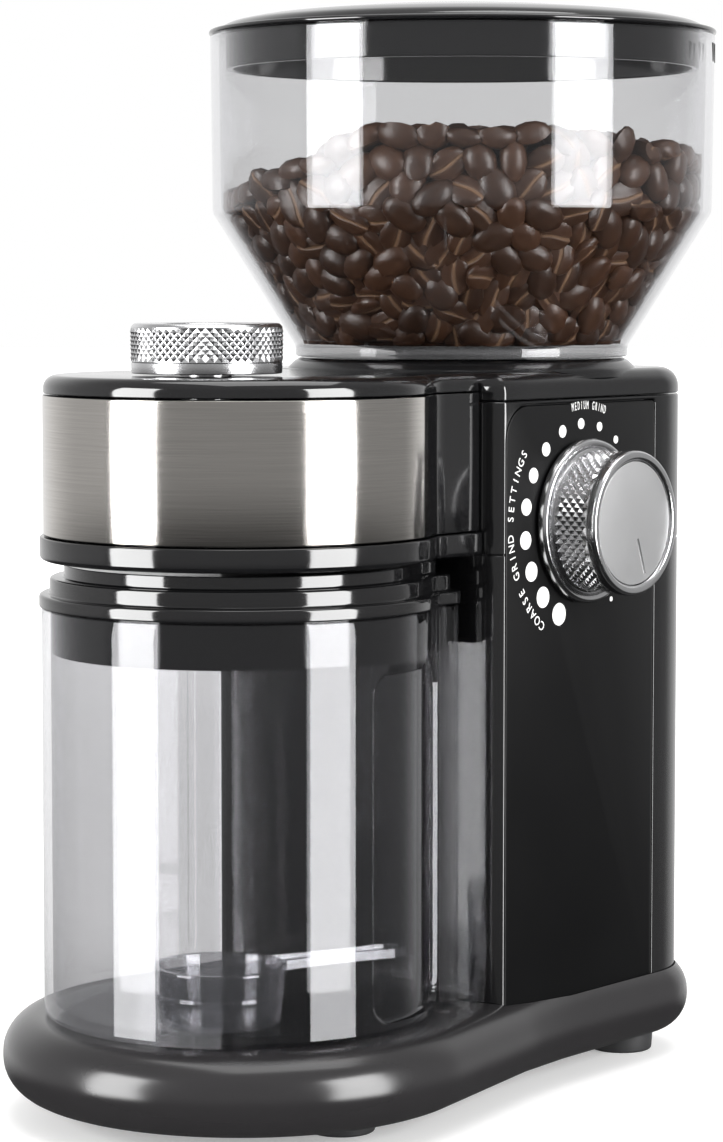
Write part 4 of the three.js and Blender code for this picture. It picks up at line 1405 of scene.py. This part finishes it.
@dataclass
class Hopper:
    """The clear hopper, its black lid, its alignment marks and the beans in it."""

    y: float = 40.5
    wall: float = 2.2
    bean_reach: float = 4.25
    depth_shown: float = 9.5
    seed: int = 7
    bean_count: int = 1150
    settling_steps: int = 60
    bean_sizes: tuple[tuple[float, float], ...] = ((5.7, 0.35), (4.35, 0.25), (3.7, 0.2))

    def build(self) -> None:
        """Makes the hopper's pieces."""
        foot, rim = span("hopper_body", 2)
        seat = 184.4
        body = turned(eased([
            (19.5, foot), (19.5, seat, 0.4), (43.5, seat, 0.6), (43.5, 187.2, 0.5), (65.1, 221.7, 0.9),
            (65.6, rim, 0.5), (65.6 - self.wall, rim, 0.5), (65.1 - self.wall, 222.3, 0.9),
            (42.1, 188.6, 0.8), (17.3, 185.6, 0.4), (17.3, foot),
        ]), 160, Ends.LOOPED)
        lugs = []
        for k in range(3):
            lug = box((18.5, -4, foot), (22.5, 4, foot + 2))
            lugs.append(lug.mapped(spun(math.radians(120 * k))))
        clear = Head.placed(combined(body, [joined(lugs)]), (0, self.y, 0))
        publish(clear, "hopper_clear", CLEAR_HOPPER, Body.HOPPER, ["hopper_body"], 26)
        self.build_lid()
        self.build_marks()
        self.build_beans()

    def build_lid(self) -> None:
        """The lid: a low dome, a rolled rim and a plug skirt."""
        low, top = span("hopper_lid", 2)
        rim = 267.5
        profile = eased([
            (0.5, top), (30, top - 0.7, 4), (54, top - 3.0, 3), (61.5, top - 4.6, 2), (64.0, top - 6.4, 0.8),
            (65.9, top - 6.2, 0.7), (66, rim, 0.7), (63.6, rim, 0.3), (61.7, rim, 0.2), (61.5, low, 0.4),
            (59.7, low, 0.4), (59.7, rim - 0.4, 0.8), (40, top - 3.6, 2), (0.5, top - 2.6),
        ])
        lid = turned(profile, 192).moved(0, self.y)
        publish(lid, "hopper_lid_black", GLOSS_BLACK, Body.HOPPER_LID, ["hopper_lid"])

    def build_marks(self) -> None:
        """Two small triangles printed near the rim: a flat triangle wrapped on to the hopper's wall."""
        side = np.linspace(0, 1, 7)[:-1, None]
        corners = np.array([[-2.1, 2.3], [0, -2.4], [2.1, 2.3]])
        plan = np.vstack([corners[k] * (1 - side) + corners[(k + 1) % 3] * side for k in range(3)])
        flat = lofted(lambda _: plan, [(0, 65.45), (0, 65.68)])
        marks = []
        for degrees in (27.0, 32.6):
            angle = math.radians(degrees) + flat.points[:, 0] / 65.5
            reach = flat.points[:, 2]
            height = 262.6 + flat.points[:, 1]
            around = np.column_stack([reach * np.cos(angle), reach * np.sin(angle), height])
            marks.append(Skin(around, flat.faces).outward().moved(0, self.y))
        publish(joined(marks), "alignment_marks", BLACK_INK, Body.HOPPER)

    def inner_radius(self, height: Array) -> Array:
        """The hopper's inside radius at a height: the cone's straight line, then the near-upright wall."""
        return np.interp(height, [188.6, 222.3, 267.2], [42.1, 62.9, 63.4])

    def heap(self, points: Array) -> Array:
        """Height of the beans' surface: low at the left, full a third of the way over, falling again.

        Args:
            points: Places about the axis of the hopper.

        Returns:
            Heights.
        """
        across = points[:, 0] * 0.7785 + points[:, 1] * 0.6276
        rise = smooth(np.clip((across + 63) / 46, 0, 1))
        return 226.5 + 15.5 * rise - 6.0 * np.clip(across / 63, 0, 1) ** 2

    def spread_beans(self) -> Array:
        """Centres of the beans: random places that push each other apart inside the hopper.

        Returns:
            Centres about the hopper's axis, shape (n, 3).
        """
        dice = np.random.default_rng(self.seed)
        count = self.bean_count
        centre = np.column_stack([dice.uniform(-60, 60, (count, 2)), dice.uniform(190, 246, count)])
        for _ in range(self.settling_steps):
            gap = centre[:, None, :] - centre[None, :, :]
            far = np.sqrt((gap ** 2).sum(-1)) + 1e-6
            push = np.clip(2 * self.bean_reach - far, 0, None) * (far > 1e-3) / far
            np.fill_diagonal(push, 0)
            centre = centre + (gap * push[:, :, None]).sum(1) * 0.32
            centre[:, 2] -= 0.05
            centre[:, 2] = np.clip(centre[:, 2], 190.2, self.heap(centre) - 2.2)
            reach = np.hypot(centre[:, 0], centre[:, 1]) + 1e-6
            room = self.inner_radius(centre[:, 2]) - 4.0
            centre[:, :2] *= np.minimum(1, room / reach)[:, None]
        return centre

    def bean(self) -> tuple[Array, list]:
        """One bean of unit half sizes: domed above, flat with a groove below, drawn in to both tips.

        Each cross-section is scaled by (1 - x^2) ^ 0.42 at its place x along the bean.

        Returns:
            Its corners and its faces.
        """
        dome = np.radians(np.linspace(-8, 188, 7))
        over = np.column_stack([np.cos(dome), np.sin(dome)])
        under = np.array([[-0.55, -0.5], [0, -0.28], [0.55, -0.5]])
        section = np.vstack([over, under])
        place = -np.cos(np.pi * (np.arange(7) + 0.4) / 6.8)
        scale = (1 - place ** 2) ** 0.42
        rows = np.stack([np.column_stack([np.full(len(section), x), section * s])
                         for x, s in zip(place, scale)])
        skin = Skin.grid(rows)
        return skin.points, skin.faces

    def build_beans(self) -> None:
        """The beans that can be seen: the layers next to the wall and the surface of the heap."""
        centre = self.spread_beans()
        dice = np.random.default_rng(self.seed + 1)
        radial = np.hypot(centre[:, 0], centre[:, 1])
        to_wall = (self.inner_radius(centre[:, 2]) - radial) * 0.85
        to_top = self.heap(centre) - centre[:, 2]
        shown = (to_wall < self.depth_shown) | (to_top < self.depth_shown)
        centre, radial, to_wall, to_top = centre[shown], radial[shown], to_wall[shown], to_top[shown]
        count = len(centre)
        outward = np.column_stack([centre[:, :2] / radial[:, None], np.where(centre[:, 2] < 222, -0.62, 0)])
        outward = np.where((to_wall < to_top)[:, None], outward, np.array([0, 0, 1.0]))
        facing = outward + dice.normal(0, 0.26, (count, 3))
        facing *= np.where(dice.random(count) < 0.45, 1, -1)[:, None]
        facing /= np.linalg.norm(facing, axis=1)[:, None]
        along = np.cross(facing, dice.normal(0, 1, (count, 3)))
        along /= np.linalg.norm(along, axis=1)[:, None]
        frame_axes = np.stack([along, np.cross(facing, along), facing], axis=1)
        unit, faces = self.bean()
        half = np.column_stack([dice.normal(size, spread, count)
                                for size, spread in self.bean_sizes])
        shaped = unit[None, :, :] * half[:, None, :]
        points = np.einsum("nvi,nij->nvj", shaped, frame_axes) + centre[:, None, :]
        room = self.inner_radius(points[:, :, 2]) - 0.6
        points[:, :, :2] *= np.minimum(1, room / np.linalg.norm(points[:, :, :2], axis=2))[:, :, None]
        points[:, :, 2] = np.clip(points[:, :, 2], 187.6, None)
        points += np.array([0, self.y, 0])
        starts = np.arange(count) * len(unit)
        every = [[int(corner) + int(start) for corner in face] for start in starts for face in faces]
        mesh = Skin(points.reshape(-1, 3), every).mesh("beans")
        own = mesh.attributes.new("bean_place", "FLOAT_VECTOR", "POINT")
        own.data.foreach_set("vector", np.broadcast_to(unit, points.shape).ravel().astype(np.float32))
        roast = mesh.attributes.new("roast", "FLOAT", "POINT")
        roast.data.foreach_set("value", np.repeat(dice.random(count), len(unit)).astype(np.float32))
        publish(mesh, "coffee_beans", BEANS, Body.HOPPER, crease=60)


@dataclass
class Container:
    """The smoky container with its grip recesses, its lid and the scoop inside."""

    y: float = -48.5
    radius: float = 48.4
    half: float = 40.0
    back: float = 39.5
    corner: float = 6.0
    wall: float = 2.2
    grip_depth: float = 1.2
    grips: tuple[tuple[float, float], ...] = ((147.0, 189.0), (351.0, 393.0))
    grip_heights: tuple[float, float] = (28.0, 112.0)

    def angles(self) -> Array:
        """Angles of the round front in degrees, set close together at the grips' edges.

        Returns:
            The angles.
        """
        start = math.degrees(math.acos(self.half / self.radius))
        parts = [np.arange(180 - start, 360 + start, 2.2), np.array([360 + start])]
        for low, high in self.grips:
            parts += [np.arange(low - 1.0, low + 7.5, 0.5), np.arange(high - 7.5, high + 1.0, 0.5)]
        angle = np.unique(np.clip(np.concatenate(parts), 180 - start, 360 + start))
        return angle[np.concatenate([[True], np.diff(angle) > 0.2])]

    def outline(self, inset: float, dip: Array | float = 0.0) -> Array:
        """The plan, drawn in by an inset, with the round front sunk further by a dip.

        Args:
            inset: How far the outline is drawn in.
            dip: Further sinking at each angle of the front.

        Returns:
            Corners of the outline.
        """
        angle = np.radians(self.angles())
        reach = self.radius - inset - dip
        front = np.column_stack([reach * np.cos(angle), reach * np.sin(angle)])
        half, back, corner = self.half - inset, self.back - inset, max(self.corner - inset, 1.0)
        side = front[-1][1]
        return np.vstack([
            front,
            line([half, side], [half, back - corner], 3),
            arc(half - corner, back - corner, corner, 0, 90, 10),
            line([half - corner, back], [corner - half, back], 6),
            arc(corner - half, back - corner, corner, 90, 180, 10),
            line([-half, back - corner], [-half, side], 3),
        ])

    def dip(self, height: float) -> Array:
        """How far the grips sink the wall at a height.

        The distance to a rounded rectangle in (arc length, height) becomes a smooth step that is full
        0.9 mm inside the rectangle's edge.

        Args:
            height: The height.

        Returns:
            The dip at each angle.
        """
        angle, round_corner, soft = self.angles(), 6.0, 0.7
        middle_z = sum(self.grip_heights) / 2
        half_z = (self.grip_heights[1] - self.grip_heights[0]) / 2
        sunk = np.zeros(len(angle))
        for low, high in self.grips:
            along = np.radians(np.abs(angle - (low + high) / 2)) * self.radius
            half_s = math.radians(high - low) / 2 * self.radius
            above = np.full(len(angle), abs(height - middle_z) - half_z + round_corner)
            past = np.stack([along - half_s + round_corner, above])
            distance = np.linalg.norm(np.clip(past, 0, None), axis=0) + np.clip(past.max(0), None, 0)
            distance -= round_corner
            sunk += smooth(np.clip(-distance / soft, 0, 1))
        return self.grip_depth * sunk

    def build(self) -> None:
        """Makes the container, its lid and the scoop."""
        low, high = span("container_body", 2)
        grip_low, grip_high = self.grip_heights
        heights = np.unique(np.round(np.concatenate([
            np.arange(low + 1.4, grip_high + 9, 4.0), np.arange(grip_low - 0.4, grip_low + 7, 0.45),
            np.arange(grip_high - 7, grip_high + 0.5, 0.45)]), 3))
        rows = [(inset, z, 0.0) for inset, z in rounded(low, low + 1.4, 1.4, 0, 6)[:6]]
        rows += [(0.0, z, self.dip(z)) for z in heights[heights < high - 1]]
        rows += [(0.0, high - 0.4, 0.0), (0.15, high - 0.12, 0.0), (0.4, high, 0.0),
                 (self.wall - 0.4, high, 0.0), (self.wall, high - 0.4, 0.0)]
        floor = low + 2.2
        rows += [(self.wall, z, 0.0) for z in (90.0, 60.0, 40.0, floor + 2.5)]
        rows += [(self.wall + 0.35, floor + 0.9, 0.0), (self.wall + 1.2, floor + 0.2, 0.0),
                 (self.wall + 2.5, floor, 0.0)]
        body = Skin.grid(np.stack([self.row(self.outline(inset, dip), z) for inset, z, dip in rows]))
        publish(body.moved(0, self.y), "container_smoky", SMOKY, Body.CONTAINER, ["container_body"], 40)
        self.build_lid()
        self.build_scoop()

    @staticmethod
    def row(plan: Array, z: float) -> Array:
        """A plan outline at a height."""
        return np.column_stack([plan, np.full(len(plan), z)])

    def build_lid(self) -> None:
        """The stepped lid with its filling hole."""
        low, top = span("container_lid", 2)
        flange, shoulder, step = span("container_body", 2)[1] + 0.3, 128.5, 132.5
        hole = self.outline(0)
        hole = hole / np.linalg.norm(hole, axis=1)[:, None] * 13
        steps = eased([
            (5.5, top, 0.7), (5.5, step, 0.6), (2, step, 0.8), (2, shoulder, 0.6), (-0.6, shoulder, 0.9),
            (-0.6, flange, 0.4), (2.5, flange, 0.2), (2.5, low, 0.3), (4.1, low, 0.3),
            (4.1, shoulder - 1), (7.5, shoulder - 1), (7.5, top - 2.2),
        ])
        steps[:, 0] = np.clip(steps[:, 0], -0.6, None)
        rows = [self.row(hole, top - 2.2), self.row(hole, top - 0.3), self.row(hole * 1.02, top)]
        rows += [self.row(self.outline(inset), z) for inset, z in steps[1:]]
        lid = Skin.grid(np.stack(rows), Ends.LOOPED).moved(0, self.y)
        publish(lid, "container_lid_black", GLOSS_BLACK, Body.CONTAINER, ["container_lid"], 30)

    def build_scoop(self) -> None:
        """The clear scoop: a cup with a bead half way up, and a ribbed handle from its rim."""
        low, high = span("measuring_scoop", 2)
        x, y, height = 14.5, -73.0, high - low
        cup = turned(eased([(0.4, 0), (14.3, 0, 1.0), (14.9, 6.6, 0.2), (15.2, 6.9, 0.1), (15.2, 7.3, 0.1),
                            (15.0, 7.6, 0.2), (15.5, height - 1.0, 0.2), (16.1, height - 0.9, 0.2),
                            (16.1, height, 0.3), (14.4, height, 0.3), (13.3, 1.4, 1.0), (0.4, 1.4)]), 96)
        along = np.linspace(0, 1, 24)
        reach = 13.9 + 36.1 * along
        half = 4.6 - 1.1 * np.sin(np.pi * along) + np.clip(along - 0.9, 0, None) * -22
        section = np.array([[-1, 0], [-1, 1], [-0.72, 1], [-0.66, 0.45],
                            [0.66, 0.45], [0.72, 1], [1, 1], [1, 0]])
        lift = height - 2.2 + section[:, 1] * 2.2
        rows = np.stack([np.column_stack([np.full(8, r), section[:, 0] * h, lift])
                         for r, h in zip(reach, half)])
        handle = Skin.grid(rows).mapped(spun(math.radians(68.5)))
        scoop = Head.placed(combined(cup, [handle]), (x, y, low))
        publish(scoop, "measuring_scoop_clear", CLEAR_SCOOP, Body.SCOOP, ["measuring_scoop"], 28)


@dataclass
class Works:
    """The frame's own nodes that stay in view or inside, each given its finish."""

    finishes: tuple[tuple[Finish, tuple[str, ...]], ...] = (
        (INNER_BLACK, ("base_plate", "grinding_chamber", "grounds_chute", "feed_throat")),
        (NYLON, ("dial_bush", "gear_deck", "motor_end_cap", "selector_switch", "dial_pinion", "adjuster_ring",
                 "spindle_gear", "burr_carrier")),
        (BRONZE, ("spindle_bush_upper", "spindle_bush_lower", "motor_pinion")),
        (STEEL, ("base_screw_1", "base_screw_2", "base_screw_3", "base_screw_4", "motor_can", "start_spring",
                 "dial_shaft", "upper_burr", "spindle_shaft", "lower_burr", "burr_nut", "motor_rotor")),
        (BOARD, ("control_board",)),
    )

    def build(self) -> None:
        """Puts each finish on its nodes."""
        for finish, names in self.finishes:
            for name in names:
                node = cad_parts[name]
                if not node.material_slots:
                    log.warning("%s has no material slot", name)
                for holder in node.material_slots:
                    holder.material = finish.material()
            log.info("%s on %d inner pieces", finish.name, len(names))


@dataclass
class Studio:
    """A pale floor, two tall soft lights, a soft light above, a pale surround and the camera."""

    camera_place: tuple[float, float, float] = (0.5628, -0.6995, 0.2057)
    camera_yaw: float = 38.87
    camera_pitch: float = -4.8
    lens: float = 111.4
    reach: float = 3.0
    brightness: float = 14.5

    def build(self) -> None:
        """Makes the floor, the lights, the surround and the camera."""
        self.build_camera()
        self.build_floor()
        view = math.degrees(math.atan2(self.camera_place[1], self.camera_place[0]))
        self.strip("left_soft_light", view - 75.5, view - 48.0)
        self.strip("right_soft_light", view + 41.0, view + 70.0)
        self.lamp("top_soft_light", Vector((0.1, 0.2, 2.2)), Vector((0.0, 0.0, 0.2)), (1.8, 1.8), 3.0)
        self.build_surround()

    def build_camera(self) -> None:
        """The camera, looking along its yaw from +Y and its pitch below level."""
        data = bpy.data.cameras.new("camera")
        data.lens, data.sensor_width, data.clip_start, data.clip_end = self.lens, 36.0, 0.01, 100.0
        camera = linked("camera", data)
        camera.location = self.camera_place
        camera.rotation_euler = (math.radians(90 + self.camera_pitch), 0, math.radians(self.camera_yaw))
        bpy.context.scene.camera = camera

    def build_floor(self) -> None:
        """A wide pale floor whose own glow grows with distance, so that it fades into the surround."""
        disc = Skin(np.column_stack([arc(0, 0, 9000, 0, 360, 97)[:-1], np.zeros(96)]), [list(range(96))])
        mesh = disc.mesh("floor")
        material = bpy.data.materials.new("pale_floor")
        material.use_nodes = True
        graph = Graph(material.node_tree)
        place = graph.place()
        fine = graph.noise(place, 6, 3)
        colour = graph.blend(fine, (0.86, 0.855, 0.85), (0.9, 0.895, 0.89))
        away = graph.node("ShaderNodeVectorMath", {"operation": "LENGTH"}, {0: place})["Value"]
        glow = graph.blend(away.step(0.25, 1.6), (0.3, 0.3, 0.3), (1.0, 1.0, 1.0))
        graph.show(graph.principled(Base_Color=colour, Roughness=0.6, Emission_Color=glow,
                                    Emission_Strength=1.0))
        mesh.materials.append(material)
        floor = linked("floor", mesh)
        floor.visible_glossy = False

    def strip(self, name: str, start: float, end: float) -> None:
        """A tall soft light that fills the directions between two angles in degrees.

        Args:
            name: Name of the light.
            start: First angle.
            end: Last angle.
        """
        middle = math.radians((start + end) / 2)
        wide = 2 * self.reach * math.tan(math.radians(end - start) / 2)
        low, high = -0.72, 2.0
        place = Vector((self.reach * math.cos(middle), self.reach * math.sin(middle), (low + high) / 2))
        self.lamp(name, place, Vector((0, 0, place.z)), (wide, high - low), self.brightness)

    def lamp(self, name: str, place: Vector, target: Vector, size: tuple[float, float],
             radiance: float) -> None:
        """A rectangular light.

        Args:
            name: Its name.
            place: Its middle, in metres.
            target: What it faces, in metres.
            size: Width and height in metres.
            radiance: Its brightness, from which its power is area times pi times as much.
        """
        data = bpy.data.lights.new(name, "AREA")
        data.shape, data.size, data.size_y = "RECTANGLE", *size
        data.energy = radiance * math.pi * size[0] * size[1]
        light = linked(name, data)
        light.location = place
        light.rotation_euler = (target - place).to_track_quat("-Z", "Y").to_euler()
        light.visible_camera = False

    def build_surround(self) -> None:
        """White to look at; as a light it is dark on one side of the object and pale round the rest."""
        world = bpy.data.worlds.new("surround")
        world.use_nodes = True
        bpy.context.scene.world = world
        graph = Graph(world.node_tree)
        direction = graph.node("ShaderNodeTexCoord")["Generated"]
        parts = graph.node("ShaderNodeSeparateXYZ", None, {0: direction})
        front = parts["X"] * 0.6276 + parts["Y"] * -0.7785
        side = parts["X"] * 0.7785 + parts["Y"] * 0.6276
        angle = side.math("ARCTAN2", side, front) * (180 / math.pi)
        left = angle.step(-78, -84) * 0.4 + angle.step(-105, -150) * 0.6
        right = angle.step(112, 138)
        level = (left + right) * 0.62 + 0.38
        above = parts["Z"].step(0.35, 0.8)
        below = parts["Z"].step(-0.34, -0.1)
        strength = (level * (1 - above) + above * 0.5) * (below * 0.94 + 0.06)
        ambient = graph.node("ShaderNodeBackground", None, {"Color": (1, 1, 1), "Strength": strength})[0]
        plain = graph.node("ShaderNodeBackground", None, {"Color": (1, 1, 1), "Strength": 1.0})[0]
        seen = graph.node("ShaderNodeLightPath")["Is Camera Ray"]
        graph.show(graph.mixed(seen, ambient, plain), "ShaderNodeOutputWorld")
        bpy.context.scene.view_settings.view_transform = "Standard"


def main() -> None:
    """Builds every sub-assembly in order."""
    logging.basicConfig(level=logging.INFO, format="%(message)s")
    tower, dial = Tower(), Dial()
    Studio().build()
    Base().build(tower)
    tower.build(dial)
    Head().build()
    Selector().build()
    dial.build()
    Hopper().build()
    Container().build()
    Works().build()


if __name__ == "__main__":
    main()
